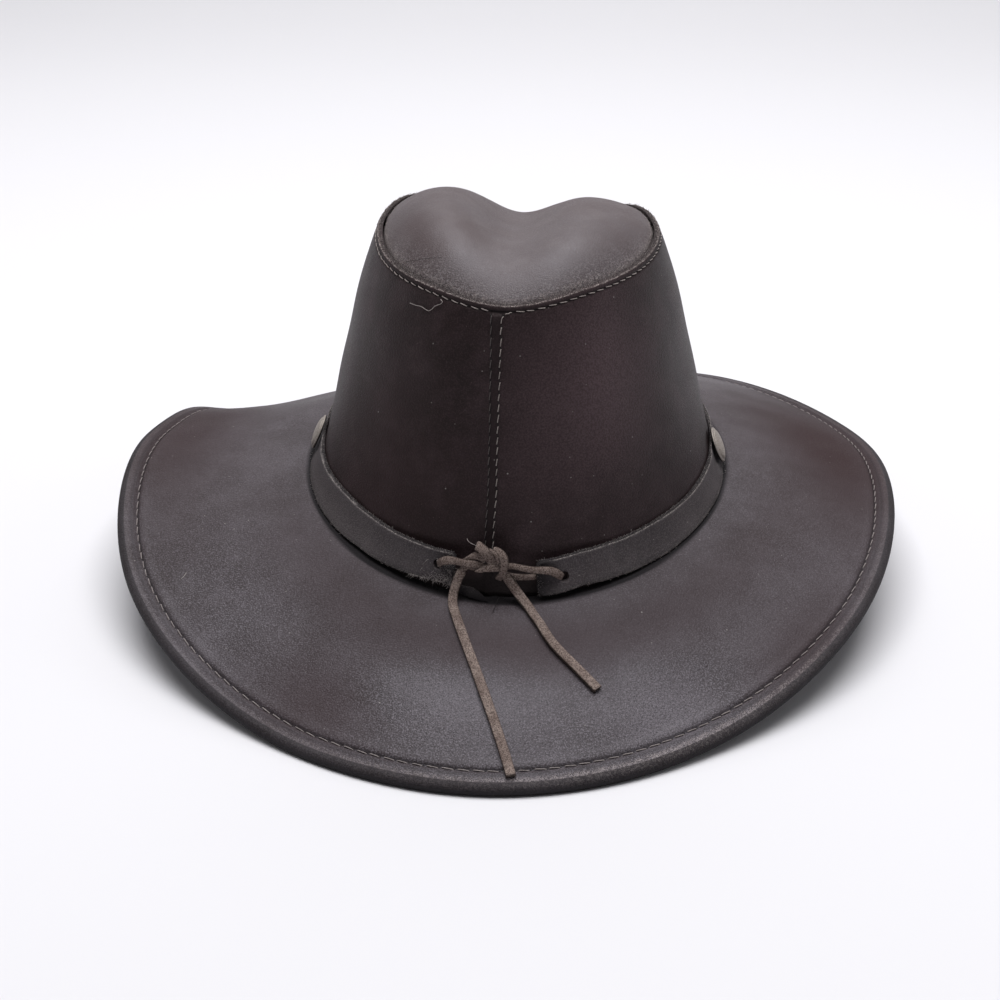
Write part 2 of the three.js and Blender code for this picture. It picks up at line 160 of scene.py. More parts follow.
CROWN_SWELL_HEIGHT = 0.3
CROWN_SWELL_SIZE = 30
CROWN_SWELL_BELOW = (3, 12)
CROWN_SWELL_SHARES = (0.1, 0.3)
TOP_STITCH_BELOW = 2.0
# In the "dark" column: painted shade in the groove along the stitches under the raw edge, and a lighter
# darkening just under the edge
CROWN_EDGE_LINES = table(
    "at half_width rise dark",
    (TOP_STITCH_BELOW, 0.55, -0.35, 0),
    (TOP_STITCH_BELOW, 0.45, 0, 0.95),
    (1.2, 0.9, 0, 0.35),
    (0.9, 0.7, 0.2, 0),
)
SEWN_BELOW = (2.2, 3)
STITCH_SINK = 0.3
STITCH_SINK_TURN = 0.3
# Painted shade, with some grime, in the grooves of the back seam's rows
STITCH_SHADE_AND_GRIME = 0.5
STITCH_SHADE_AND_GRIME_TURN = 0.22
STRIP_DARK = 0.45
# Painted shade on the wall: near black at its foot under the band, and higher between the band's ends
# behind the knot
CROWN_FOOT_PAINTED_SHADE = 0.8
FOOT_PAINTED_SHADE_SHARES = (0.02, 0.07)
KNOT_AROUND = -1
KNOT_HALF_TURN = 9
KNOT_PAINTED_SHADE_SHARES = (0.06, 0.13)
CROWN_EDGE_WEAR = [0.9, 0.3, 0.1, 0.1, 0.2]
CROWN_SEAM_TURN = (-9, 2.2, 0.2)
CROWN_OTHER_TURN = (2.2, 351, 0.9)
CROWN_LOW_ROWS = (0, 0.16, 14)
CROWN_MIDDLE_ROWS = (0.16, 0.94, 44)
CROWN_HIGH_ROWS = (0.94, 1, 22)
CROWN_EDGE_ROWS = (0.25, 1, 4)
CROWN_INSIDE_ROWS = (1, 0, 22)
EDGE_UNEVEN = 0.13
EDGE_DARK = 0.45

# Top piece
TOP_TUCK = 0.7
TOP_MARGIN = 7
LEFT_HUMP = 122.5
RIGHT_HUMP = 118.0
HUMP_BLEND = 8
DENT_DEPTH = 12.6
DENT_X = -2.1
DENT_HALF_WIDTH = 18.8
TOP_FALL_FORWARD = 0.169
TOP_ROUNDING_POWER = 4.1
TOP_FOLD_RADIUS = 1.5
TOP_FOLD_ROWS = [2.4, 1.9, 1.45, 1.1, 0.8, 0.5, 0.25, 0.08, 0]
TOP_TURN_STEP = 1.2
TOP_ROWS = (0.004, 0.94, 46)
TOP_INSIDE_ROWS = (0.95, 0.004, 16)
TOP_EDGE_WEAR = 0.4
TOP_WEAR_IN = 0.8
TOP_WEAR_HALF_WIDTH = 1.1
TOP_UNEVEN = 0.25
TOP_UNEVEN_SIZE = 26
TOP_UNEVEN_FROM = (-0.93, -0.8)
TOP_GRIT = 0.8
TOP_GRIT_RIMS = (0.85, 0.99)

# Band
BAND_LOW = 0.5
BAND_HIGH = 13.2
BAND_RIGHT_END = 8.7
BAND_LEFT_END = 348.6
BAND_END_LIFT = 2.8
BAND_LIFT_LENGTH = 30
BAND_FINE_TURN = 40
BAND_FINE_STEP = 0.4
BAND_COARSE_STEP = 0.8
BAND_EDGE_SKIVED = 0.3
BAND_UNEVEN = 0.15
BAND_CURL = 1.3
BAND_CURL_HALF_TURN = 2.2
BAND_ROUGH = 0.07
BAND_END_ROUNDING = 0.22
BAND_END_ROUNDED_TURN = 1.6
# Painted shade: along the band's lower edge over the brim, and on the inner half of its upper edge by the
# crown
BAND_LOWER_PAINTED_SHADE = 0.4
BAND_UPPER_PAINTED_SHADE = 0.8
# Painted shade at the ends, which stand off the crown, in the "dark" column; "unworn" keeps the wear off
# them
BAND_END_LINES = table(
    "at half_width dark unworn",
    (BAND_RIGHT_END, 4, 0.85, 0),
    (BAND_LEFT_END, 5, 0.51, 0),
    (BAND_RIGHT_END, 3, 0, 0.9),
    (BAND_LEFT_END, 2, 0, 0.6),
)
BAND_RIDE = table(
    "around low high",
    (-105, 0.0, 0.0),
    (-85, -0.1, -0.8),
    (-75, -0.1, -2.0),
    (-66, -0.1, -1.6),
    (-58, -0.1, -0.2),
    (-50, 0.2, 0.7),
    (-42, 0.7, 0.7),
    (-34, 1.0, 0.8),
    (-28, 1.7, 1.0),
    (-22, 2.6, 1.4),
    (-11, 3.9, 1.8),
    (9, 1.2, 0.3),
    (14, 1.3, 0.6),
    (20, 2.1, 1.0),
    (26, 1.2, 0.6),
    (33, 0.4, -0.2),
    (45, -0.1, -0.7),
    (59, -0.1, -1.8),
    (75, -0.1, -2.0),
    (88, -0.1, -0.8),
    (105, 0.0, 0.0),
)
HOLE_RADIUS = 1.9
HOLE_SIDES = 24
HOLES = table(
    "name around height",
    ("left", 344.2, 9.8),
    ("right", 15.4, 7.0),
)
FLAP = table(
    "x out up width",
    (-20.5, -3.6, 2.4, 1.6),
    (-18.8, -2.6, 2.5, 2.2),
    (-17.2, -2.0, 2.5, 2.6),
    (-14.1, -0.8, 2.3, 3.2),
    (-11.3, 0.2, 2.2, 3.8),
    (-8.6, 0.9, 1.5, 3.2),
    (-6.4, 1.4, 0.6, 2.0),
    (-4.3, 1.8, -0.2, 0.6),
)
FLAP_THICKNESS = 0.8
FLAP_WORN = 0.3
# Painted shade over the flap
FLAP_PAINTED_SHADE = 0.95

# Conchos: pressed into the band
CONCHO_RADIUS = 7.6
CONCHO_THICKNESS = 1.1
CONCHO_PRESS = 1.1
CONCHO_PRESS_HALF_TURN = 7
CONCHO_SEAT = 0.35
CONCHO_SEAT_RADIUS = 3.0
CONCHO_BACK_INSET = 0.9
CONCHO_RIM_WIDTH = 0.5
CONCHO_STEP = 4
# Painted shade on the concho's back
CONCHO_BACK_PAINTED_SHADE = 0.97
CONCHO_DOME_HEIGHT = 1.5
CONCHO_ABOVE_BREAK = 9.0
CONCHO_AROUND = 86.5

# Lace: a flat thong. "out" counts from the break line and "above" is the height over the brim.
LACE_WIDTH = 3.6
LACE_THICKNESS = 1.7
LACE_LOWERED = 0.8
LACE_CORNER = 0.55
LACE_SPACING = 1.0
LACE_DRIFT = 0.03
LACE_UNEVEN = 0.07
LACE_CORNER_ANGLES = [20, 45, 70]
# Painted shade on the lace's underside; its cut edges darker, with painted shade too
UNDERSIDE_PAINTED_SHADE = 0.7
CUT_EDGE_TONE_AND_SHADE = 0.65
TAIL_POINTS = 90
HANGING_FROM = 2.2
HANGING_TO = 7
LEFT_TAIL = table(
    "around out above",
    (-9.4, -0.5, 11.4),
    (-10.1, 0.4, 9.0),
    (-10.5, 1.4, 6.6),
    (-10.8, 2.8, 4.1),
    (-10.7, 4.6, 2.5),
    (-10.2, 7.0, 1.95),
    (-8.9, 10.9, 1.95),
    (-5.8, 20.7, 1.95),
    (-3.0, 31.6, 1.95),
    (-0.9, 42.1, 1.95),
    (0.65, 51.6, 1.95),
    (1.9, 61.2, 1.95),
    (2.4, 66.0, 2.1),
    (2.75, 70.4, 2.95),
)
RIGHT_TAIL = table(
    "around out above",
    (1.6, -0.6, 10.2),
    (2.8, 0.2, 7.7),
    (3.9, 1.3, 5.5),
    (5.0, 2.8, 3.6),
    (6.3, 5.2, 2.1),
    (7.3, 8.9, 1.95),
    (8.5, 13.3, 1.95),
    (9.6, 18.6, 1.95),
    (11.0, 23.8, 1.95),
    (13.3, 31.3, 1.95),
    (15.6, 40.2, 1.95),
)

# Knot: its strands as places near the middle of the back. "x" is to the right of it, "out" counts
# from the break line and "up" from the break line's height there.
KNOT_THICKNESS = 1.35
KNOT_SPACING = 0.35
KNOT_FACES_ASIDE = 0.6
KNOT_FACES_UP = 0.45
KNOT_DRIFT = 0.02
KNOT_UNEVEN = 0.08
KNOT_COLUMNS = "x out up width"
KNOT = dict(
    left_strand=table(
        KNOT_COLUMNS,
        (-23.7, -4.2, 9.2, 2.6),
        (-22.3, -1.7, 12.0, 3.1),
        (-20.6, -1.0, 13.4, 3.4),
        (-18.0, -0.9, 14.0, 3.3),
        (-13.2, -0.6, 13.9, 2.7),
        (-8.9, -0.7, 13.9, 2.5),
        (-4.7, -1.1, 12.7, 2.2),
    ),
    back_strand=table(
        KNOT_COLUMNS,
        (-14.0, -2.8, 13.8, 0.9),
        (-11.6, -2.4, 15.4, 1.8),
        (-9.7, -2.0, 16.6, 2.6),
        (-7.7, -1.6, 16.8, 2.9),
        (-5.6, -1.7, 15.4, 2.9),
    ),
    loop=table(
        KNOT_COLUMNS,
        (-1.5, -1.4, 13.1, 3.2),
        (-3.2, -0.4, 16.0, 3.6),
        (-4.6, 0.1, 18.3, 3.8),
        (-6.0, 0.0, 20.1, 3.8),
        (-7.5, -0.7, 21.2, 3.7),
        (-8.5, -1.9, 21.0, 3.5),
        (-8.6, -3.0, 19.2, 3.0),
        (-7.4, -3.4, 17.4, 2.8),
    ),
    inner_strand=table(
        KNOT_COLUMNS,
        (-4.2, -1.7, 19.7, 1.6),
        (-2.6, -0.8, 19.5, 1.8),
        (-1.4, -0.1, 18.2, 1.8),
        (-0.7, 0.0, 15.6, 1.7),
    ),
    wrap=table(
        KNOT_COLUMNS,
        (-2.6, -2.9, 19.1, 2.8),
        (-0.8, -1.4, 19.4, 3.0),
        (0.8, -0.1, 18.3, 3.2),
        (1.4, 0.6, 16.5, 3.2),
        (1.3, 0.7, 14.1, 3.2),
        (0.7, 0.1, 11.3, 3.2),
        (-0.2, -1.1, 9.1, 3.2),
        (-0.9, -2.7, 7.3, 3.0),
    ),
    tab=table(
        KNOT_COLUMNS,
        (0.4, -0.6, 13.3, 3.2),
        (-3.2, 0.4, 13.6, 3.2),
        (-5.7, 0.5, 13.2, 3.0),
        (-7.6, 0.4, 12.1, 2.0),
        (-9.4, 0.2, 11.4, 0.6),
    ),
    right_strand=table(
        KNOT_COLUMNS,
        (0.9, -1.4, 13.0, 2.6),
        (4.0, -0.8, 13.9, 2.2),
        (6.8, -0.6, 13.4, 2.2),
        (11.7, -0.7, 12.1, 2.4),
        (15.4, -0.9, 11.6, 2.7),
        (18.6, -0.9, 10.9, 3.0),
        (20.8, -0.9, 9.4, 3.1),
        (21.9, -1.7, 7.9, 2.8),
        (22.2, -3.6, 6.4, 2.6),
    ),
    lower_strand=table(
        KNOT_COLUMNS,
        (1.8, -1.4, 9.8, 2.4),
        (4.4, -1.4, 9.1, 2.6),
        (7.2, -1.6, 8.7, 2.6),
        (10.7, -2.6, 8.0, 2.5),
        (13.3, -4.0, 7.2, 2.5),
    ),
    left_root=table(
        KNOT_COLUMNS,
        (-6.2, -1.8, 11.7, 2.4),
        (-9.7, -1.9, 11.6, 2.4),
        (-12.0, -1.7, 12.1, 2.4),
        (-13.6, -1.2, 11.3, 2.8),
        (-14.6, -0.4, 10.2, 3.3),
    ),
    right_root=table(
        KNOT_COLUMNS,
        (0.4, -1.0, 11.3, 3.2),
        (1.5, -0.8, 10.1, 3.4),
        (2.7, -0.5, 8.8, 3.6),
    ),
)

# Loose ends: a wavy thread on the crown, a light hair at the knot and a dark one on the brim
LOOSE_THREAD = table(
    "around share",
    (-24.6, 0.9745),
    (-23.8, 0.9694),
    (-24.2, 0.9612),
    (-25.6, 0.9517),
    (-26.5, 0.9455),
    (-27.5, 0.9319),
    (-28.7, 0.9238),
    (-30.1, 0.9246),
    (-32.0, 0.9272),
    (-34.5, 0.9234),
    (-37.1, 0.9218),
)
KNOT_HAIR = table(
    "x out up",
    (-12.4, -1.5, 23.9),
    (-12.1, -1.2, 23.3),
    (-11.3, -1.0, 22.6),
    (-10.0, -1.0, 22.0),
    (-8.2, -1.2, 21.2),
)
BRIM_HAIR = table(
    "around out above",
    (-0.4, -1.1, 0.4),
    (-0.6, 2.6, 1.6),
    (-0.8, 4.7, 1.9),
    (-1.05, 5.9, 1.2),
    (-1.4, 6.9, 0.1),
)
SCRATCH = table(
    "around rim",
    (-48.6, 0.975),
    (-44.2, 0.957),
    (-39.8, 0.936),
    (-35.4, 0.918),
    (-31.0, 0.899),
)
SCUFF = table(
    "around out",
    (-56.9, 56.6),
    (-56.4, 57.9),
    (-56.2, 59.2),
)
HAIR_RADIUS = 0.12
HAIR_SIDES = 5
HAIR_SPACING = 0.3
HAIR_LIFT = 0.35
SCRATCH_RADIUS = 0.06
FIBRE_POINTS = 5
FIBRE_SIDES = 3
FIBRE_LENGTHS = (0.4, 1.3)
FIBRE_SPREAD = 0.45
FUZZ = table(
    "where count length radius curl outward upward seed",
    ("crown_edge", 1500, 0.75, 0.07, 0.5, 0.5, 1.0, 62),
    ("top_edge", 1400, 0.5, 0.07, 0.5, 0.6, 0.5, 67),
    ("band_upper", 1900, 0.65, 0.07, 0.5, 0.4, 1.0, 63),
    ("band_lower", 500, 0.5, 0.06, 0.5, 1.0, -0.4, 64),
    ("left_end", 420, 1.3, 0.08, 0.8, 1.0, 0.3, 65),
    ("left_corner", 90, 1.2, 0.08, 0.8, 1.0, -0.6, 68),
    ("right_end", 60, 0.45, 0.05, 0.5, 1.0, 0.0, 66),
)

# Sewing
THREAD_RADIUS = 0.18
STITCH_FILL = 0.8
BRIM_STITCH_FILL = 0.86
BRIM_THREAD_RADIUS = 0.23
STITCH_RISE = 0.36
STITCH_DIVE = 0.8
STITCH_SLANT = 0.22
STITCH_SHIFT = 0.05
STITCH_TURN = 0.05
STITCH_LIFT = 0.03
STITCH_ARCH_POWER = 7
THREAD_UNEVEN = (0.9, 1.1)
STITCH_POINTS = 9
HOLE_SIZE = 0.46
BRIM_STITCH_PITCH = 5.3
BACK_STITCH_PITCH = 4.0
LEFT_ROW_FILL = 0.88
LEFT_ROW_RADIUS = 0.14
BACK_STRIP_RISE = 0.6
BACK_STRIP_ROUGH = 0.12
BACK_STRIP_BELOW = (2.4, 3.6)
ROW_SPACING = 0.3
SEAM_ROW_START = 0.08
SEAM_CORNER = table(
    "x below",
    (-1.9, 4.6),
    (-1.75, 3.8),
    (-1.3, 3.1),
    (-0.4, 2.7),
    (0.7, 2.5),
)
TOP_ROW_START = 1.0
TOP_ROW_END = -5.4
BACK_SEAM = table(
    "share left right",
    (0.0, -6.6, -3.7),
    (0.2, -6.3, -3.4),
    (0.35, -5.6, -2.6),
    (0.6, -5.35, -2.4),
    (0.85, -5.4, -2.0),
    (0.95, -5.6, -1.85),
    (1.0, -5.8, -1.2),
)

# Patches of the leather that are darker than the rest, or paler where "dark" is below 0: painted shade
# and painted light, and on the brim its own browner tone too. "across" is the distance out on the brim
# and the share of the height on the crown.
# On the brim the darker patches paint shade by the band and under the knot and damp the reflections at the
# sides; the paler ones low at the back paint sheen
BRIM_SHADES = table(
    "around across half_turn half_width dark",
    (2, 20, 44, 16, 0.62),
    (88, 52, 22, 26, 0.6),
    (112, 48, 22, 34, 0.8),
    (48, 60, 12, 16, 0.55),
    (55, 20, 28, 18, 0.25),
    (-48, 8, 28, 15, 0.3),
    (-24, 54, 10, 18, 0.6),
    (-6, 42, 12, 10, -0.7),
    (23, 54, 8, 16, -0.9),
    (-95, 58, 26, 26, 0.75),
)
ROLL_WEAR = 0.5
ROLL_WEAR_FROM = (-2.5, -1.6)
LEAST_WEAR = 0.15
MORE_WEAR = 0.8
# Painted shade: the brim near black under the band's lower edge, out as far as FOOT_SHADOW says
FOOT_PAINTED_SHADE = 0.97
FOOT_SHADOW_EDGE = (-0.6, 0.6)
# Painted shade on the rolled edge, deepest on its underside
ROLL_PAINTED_SHADE = 0.66
UNDER_ROLL_PAINTED_SHADE = 0.32
UNDER_ROLL_FROM = (-0.9, 0.6)
# Where the brim's pale grit is strongest: painted glints where the sheen falls, over the grain
BRIM_GRIT_AND_GLINTS = table(
    "around across half_turn half_width dark",
    (-4, 50, 22, 22, 1.0),
    (25, 56, 14, 18, 0.9),
    (-48, 46, 16, 18, 0.5),
)
# Wear on the rolled edge, strongest at the back, where its pale specks are partly painted glints
ROLL_WEAR_AND_GLINTS = table(
    "around across half_turn half_width dark",
    (18, 0, 30, 1, 1.3),
)
# On the band: painted light on its left side
BAND_SHADES = table(
    "around across half_turn half_width dark",
    (-48, 0.5, 26, 2, -0.35),
)
FOOT_SHADOW = table(
    "around out",
    (0, 2.9),
    (30, 2.2),
    (58, 1.1),
    (80, 0.5),
)
# On the crown: painted light high on the right and near the top of the back, and painted shade low on the
# left
CROWN_SHADES = table(
    "around across half_turn half_width dark",
    (31, 0.68, 18, 0.34, -1.0),
    (6, 0.65, 13, 0.4, -0.35),
    (-45, 0.3, 34, 0.45, 0.35),
)

# Camera, found on the outline of the photograph: it looks at the break line's middle from
# CAMERA_DISTANCE, and CAMERA_U and CAMERA_V are the pixel where that middle shows
IMAGE_SIZE = 1000
CAMERA_DISTANCE = 700
CAMERA_ELEVATION = 28.46
CAMERA_YAW = 3.82
CAMERA_ROLL = 0.17
CAMERA_U = 517.74
CAMERA_V = 464.6
CAMERA_FOCUS = 1637.43
SENSOR = 36
CAMERA_NEAR = 0.05

# Colours run from 0 to 255 as they look on a screen, and the sizes of a pattern are in millimetres.
# A RAMP is where a pattern starts and is full, and its strengths there if they aren't 0 and 1. The
# BUMPs are strength and depth, and the SPECKS size, radius and rarity.
# The grain's pits, and through the "dark" weights painted shade, with some grime in grooves
GROOVE_AND_SHADE = (16, 12, 13)
# The darker patches: painted shade, and on the brim its own browner tone too
STAIN_AND_SHADE = (46, 28, 28)
DUST = (150, 145, 142)
WORN_CROWN = (184, 172, 168)
WARM_GLOSS = (255, 238, 239)
COOL_GLOSS = (246, 246, 255)
# The crown's and the top's leathers are the hat's one leather painted apart: the crown's darker as painted
# shade on its wall, the top's lighter as painted light
LEATHERS = table(
    "name deep plain pale worn gloss",
    ("brim_leather", (54, 46, 47), (77, 70, 74), (112, 106, 112), (168, 158, 157), COOL_GLOSS),
    ("crown_leather", (24, 16, 16), (40, 29, 31), (86, 70, 74), WORN_CROWN, WARM_GLOSS),
    ("top_leather", (75, 62, 62), (89, 81, 83), (122, 115, 116), WORN_CROWN, COOL_GLOSS),
    ("band_leather", (54, 48, 49), (72, 65, 66), (104, 97, 98), (176, 168, 163), COOL_GLOSS),
)
FINISHES = table(
    "name roughness specular grain grit_size grit",
    ("brim_leather", 0.46, 0.28, 0.64, 0.64, 0.5),
    ("crown_leather", 0.5, 0.27, 0.6, 0.6, 0.2),
    ("top_leather", 0.52, 0.5, 0.42, 0.7, 0.12),
    ("band_leather", 0.58, 0.35, 0.6, 0.6, 0.5),
)
DULLED = dict(worn=0.2, dark=0.3, stain_and_shade=0.22)
PATCH_SIZE = 46
PATCH_RAMP = (0.38, 0.62)
CLOUD_SIZE = 13
CLOUD_RAMP = (0.46, 0.76, 0.0, 0.42)
FOLD_SIZE = 9
FOLD_BUMP = (0.2, 0.4)
GRAIN_RAMP = (0.15, 0.6, 0.0, 0.5)
GRAIN_DEPTH = 0.3
GRIT_RAMP = (0.5, 0.62)
PIT_RAMP = (0.5, 0.32)
WEAR_RAMP = (0.45, 0.54)
WEAR_BREAK = 1.3
WEAR_BREAK_RAMP = (0.42, 0.56, 0.25, 1.0)
LARGE_SPECKS = (4.6, 0.075, 0.55)
SMALL_SPECKS = (2.3, 0.1, 0.8)
SUEDE = (124, 109, 103)
PALE_SUEDE = (152, 137, 130)
DEEP_SUEDE = (70, 58, 54)
# The lace's painted shade on its underside, and its cut edges' darker colour with painted shade
SUEDE_EDGE_AND_SHADE = (24, 17, 15)
SUEDE_PATCH_SIZE = 5
MOTTLE_RAMP = (0.35, 0.65)
NAP_SIZE = 0.5
NAP_RAMP = (0.44, 0.58, 0.0, 0.85)
NAP_BUMP = (0.7, 0.25)
METAL = (138, 130, 125)
PALE_METAL = (190, 181, 173)
BRUSH_SIZE = 0.45
BRUSH_BUMP = (0.8, 0.14)
DEEP_THREAD = (60, 54, 54)
THREAD_PATCH_SIZE = 0.6
THREAD_RAMP = (0.3, 0.7, 0.0, 0.5)
THREADS = table(
    "name colour",
    ("bright_thread", (170, 160, 156)),
    ("brim_thread", (150, 141, 140)),
    # Painted shade: the bright thread made darker for the back seam's left row
    ("dim_thread", (100, 94, 93)),
    # Painted shade: near black in the needle holes; the dark hair and the scratch use it too
    ("needle_hole", (10, 8, 8)),
    ("fibre", (176, 168, 165)),
)

# Stage and lights, in metres and watts
FLOOR = (226, 225, 229)
STAGE_HALF_WIDTH = 4.0
STAGE_FRONT = -3.0
STAGE_BACK = 3.4
STAGE_BEND = 2.4
STAGE_TOP = 4.5
CORNER_STEPS = 24
SKY = (240, 240, 242)
SKY_STRENGTH = 0.14
LIGHTS = table(
    "name x y z width depth power",
    ("overhead", 0.0, 0.2, 1.9, 1.7, 1.3, 47),
    ("behind", 0.0, 2.2, 1.9, 2.6, 1.2, 13),
    ("right", 1.9, 0.3, 0.9, 1.0, 1.2, 4),
    ("left", -1.9, 0.4, 0.9, 1.0, 1.2, 3),
)
HAT_MIDDLE = (0.0, 0.0, 0.08)

MM = 0.001
FAR_AWAY = 999.0
# Directions that no thread runs in and no face of the leather looks in
OFF_THREAD = (0.31, 0.17, 0.93)
OFF_FACE = (0.3, 0.5, 0.8)


def round_the_hat(rows, column, around):
    """A column of a table at any angle, as a smooth curve through its rows."""
    values = columns(rows, column)[0]
    count = len(values)
    place = np.mod(around, 360) * count / 360
    row = np.floor(place).astype(int)
    share = place - row
    before, here, after, beyond = (values[(row + step) % count] for step in (-1, 0, 1, 2))
    slope_start = (after - before) / 2
    slope_end = (beyond - here) / 2
    square = share * share
    cube = square * share
    return ((2 * cube - 3 * square + 1) * here + (cube - 2 * square + share) * slope_start
            + (3 * square - 2 * cube) * after + (cube - square) * slope_end)


def read_off(rows, key, name, place):
    """A column of a table at a place, in straight lines between its rows."""
    return np.interp(place, *columns(rows, key, name))


def from_back(around):
    """The angle between -180 and 180."""
    return np.mod(around + 180, 360) - 180


def xyz(x, y, z):
    return np.stack(np.broadcast_arrays(x, y, z), axis=-1).astype(float)


def unit(vectors):
    return vectors / np.linalg.norm(vectors, axis=-1, keepdims=True)


def blend(start, end, share):
    return start + (end - start) * share


def smoothstep(value, low, high):
    share = np.clip((value - low) / (high - low), 0, 1)
    return share * share * (3 - 2 * share)


def bump(value, middle, half_width):
    return np.exp(-((value - middle) / half_width) ** 2)


def soft_lines(rows, place, strength):
    """A table's lines added up. Each has its middle "at" a place and fades over its half width."""
    return sum(row[strength] * bump(place, row["at"], row["half_width"]) for row in rows)


def smooth_max(first, second, softness):
    near = np.maximum(softness - np.abs(first - second), 0) / softness
    return np.maximum(first, second) + near * near * softness / 4


def outward(around):
    """Unit vector that points away from the head, square to the break line."""
    turn = np.radians(around)
    return unit(xyz(np.sin(turn) / BREAK_HALF_WIDTH, -np.cos(turn) / BREAK_HALF_LENGTH, 0))


def floor_at(y):
    """Height of the floor in the hat's own frame, which is pitched as it rests."""
    return -y * math.tan(math.radians(REST_PITCH))


break_height = (floor_at(-BREAK_HALF_LENGTH - BRIM_ROWS[0]["reach"])
                + EDGE_ROLL_RADIUS - EDGE_FLATTENED + BRIM_ROWS[0]["drop"])

# The crown is even from side to side, and its foot from front to back, so its box gives the
# place of the hat's own axis
crown_low, crown_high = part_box("crown_side")
pitch_matrix = np.array(Matrix.Rotation(math.radians(REST_PITCH), 3, "X"))
hat_offset = np.array([
    (crown_low.x + crown_high.x) / 2,
    (crown_low.y + crown_high.y) / 2 + break_height * MM * math.sin(math.radians(REST_PITCH)),
    0,
])


def to_world(points):
    """From the hat's own frame in millimetres to the row frame in metres."""
    return np.asarray(points) @ pitch_matrix.T * MM + hat_offset


def wobble(x, y, size, seed):
    """A smooth uneven field between about -1 and 1, with swells of about the given size."""
    draw = np.random.default_rng(seed)
    total = np.zeros(np.broadcast(x, y).shape)
    waves = 7
    for _ in range(waves):
        direction = draw.uniform(0, 2 * math.pi)
        length = size * draw.uniform(0.7, 1.8)
        phase = draw.uniform(0, 2 * math.pi)
        along = x * math.cos(direction) + y * math.sin(direction)
        total += np.sin(2 * math.pi * along / length + phase)
    return total / math.sqrt(2 * waves)


def break_point(around):
    turn = np.radians(around)
    lift = BREAK_SIDE_LIFT * (1 - np.cos(2 * turn)) / 2
    return xyz(BREAK_HALF_WIDTH * np.sin(turn), -BREAK_HALF_LENGTH * np.cos(turn),
               break_height + lift)


def edge_middle(around):
    """Middle of the rolled edge, which rests on the floor where it would hang below it."""
    middle = break_point(around)
    reach = round_the_hat(BRIM_ROWS, "reach", around)
    middle = middle + outward(around) * reach[..., None]
    middle[..., 2] -= round_the_hat(BRIM_ROWS, "drop", around)
    for ripple in BRIM_RIPPLES:
        middle[..., 2] += ripple["rise"] * bump(np.mod(around, 360), ripple["around"],
                                                ripple["half_width"])
    lowest = floor_at(middle[..., 1]) + EDGE_ROLL_RADIUS - EDGE_FLATTENED
    middle[..., 2] = np.maximum(middle[..., 2], lowest)
    return middle


def brim_point(around, out):
    """Upper side of the brim, at a distance out from the break line."""
    around, out = np.broadcast_arrays(np.asarray(around, float), np.asarray(out, float))
    reach = round_the_hat(BRIM_ROWS, "reach", around)
    share = np.maximum(out, 0) / reach
    fallen = (1 + BRIM_BEND) * share * share / (share + BRIM_BEND)
    start = break_point(around)
    top = start[..., 2] - GAP
    end = edge_middle(around)[..., 2] + BRIM_SHEET / 2
    point = start + outward(around) * out[..., None]
    point[..., 2] = top + (end - top) * fallen
    return point


def seam_point(around):
    turn = np.radians(around)
    return xyz(SEAM_HALF_WIDTH * np.sin(turn) * (1 + SEAM_BACK_WIDENING * np.cos(turn)),
               SEAM_MIDDLE_Y - SEAM_HALF_LENGTH * np.cos(turn),
               break_height + round_the_hat(SEAM_ROWS, "height", around))


def wall_point(around, share, out=0.0):
    """Crown wall: share 0 is its foot and 1 its upper edge, out counts from its outside."""
    around, share, out = np.broadcast_arrays(*(np.asarray(v, float) for v in (around, share, out)))
    turn = np.radians(around)
    seam = seam_point(around)
    foot = break_point(around)
    height = (seam[..., 2] - foot[..., 2]) * share
    foot[..., 0] = (BREAK_HALF_WIDTH - CROWN_INSET) * np.sin(turn)
    foot[..., 1] = -(BREAK_HALF_LENGTH - CROWN_INSET) * np.cos(turn)
    lean = blend(share, share ** WALL_BEND_POWER, WALL_INWARD_BEND)
    point = blend(foot, seam, lean[..., None])
    point[..., 2] = foot[..., 2] + height
    away = out + FOOT_FLARE * np.exp(-height / FOOT_HEIGHT)
    for pinch in FRONT_PINCHES:
        away = away - pinch["depth"] * (bump(np.mod(around, 360), pinch["around"], pinch["half_width"])
                                        * bump(share, pinch["share"], pinch["half_height"]))
    return point + outward(around) * away[..., None]


def wall_height(around):
    return seam_point(around)[..., 2] - break_point(around)[..., 2]


def top_point(around, rim):
    """Upper side of the top piece: rim 0 is its middle and 1 its edge."""
    around, rim = np.broadcast_arrays(np.asarray(around, float), np.asarray(rim, float))
    edge = wall_point(around, 1, -PANEL - GAP)
    x = edge[..., 0] * rim
    y = SEAM_MIDDLE_Y + (edge[..., 1] - SEAM_MIDDLE_Y) * rim
    side = 1 / (1 + np.exp((DENT_X - x) / HUMP_BLEND))
    dent = DENT_DEPTH * bump(x, DENT_X, DENT_HALF_WIDTH)
    inner = break_height + blend(LEFT_HUMP, RIGHT_HUMP, side) - dent - TOP_FALL_FORWARD * y
    return xyz(x, y, blend(inner, edge[..., 2] - TOP_TUCK, rim ** TOP_ROUNDING_POWER))


def band_point(around, up, out):
    """Band: up 0 is its lower edge and 1 its upper edge, out counts from its inside."""
    around, up, out = np.broadcast_arrays(*(np.asarray(v, float) for v in (around, up, out)))
    low, high = band_edges(around)
    return band_place(around, blend(low, high, up), out)


def band_edges(around):
    """Heights of the band's two edges above the crown's foot. It has ridden up at the back."""
    low, high = (read_off(BAND_RIDE, "around", edge, from_back(around)) for edge in ("low", "high"))
    return BAND_LOW + low, BAND_HIGH + high


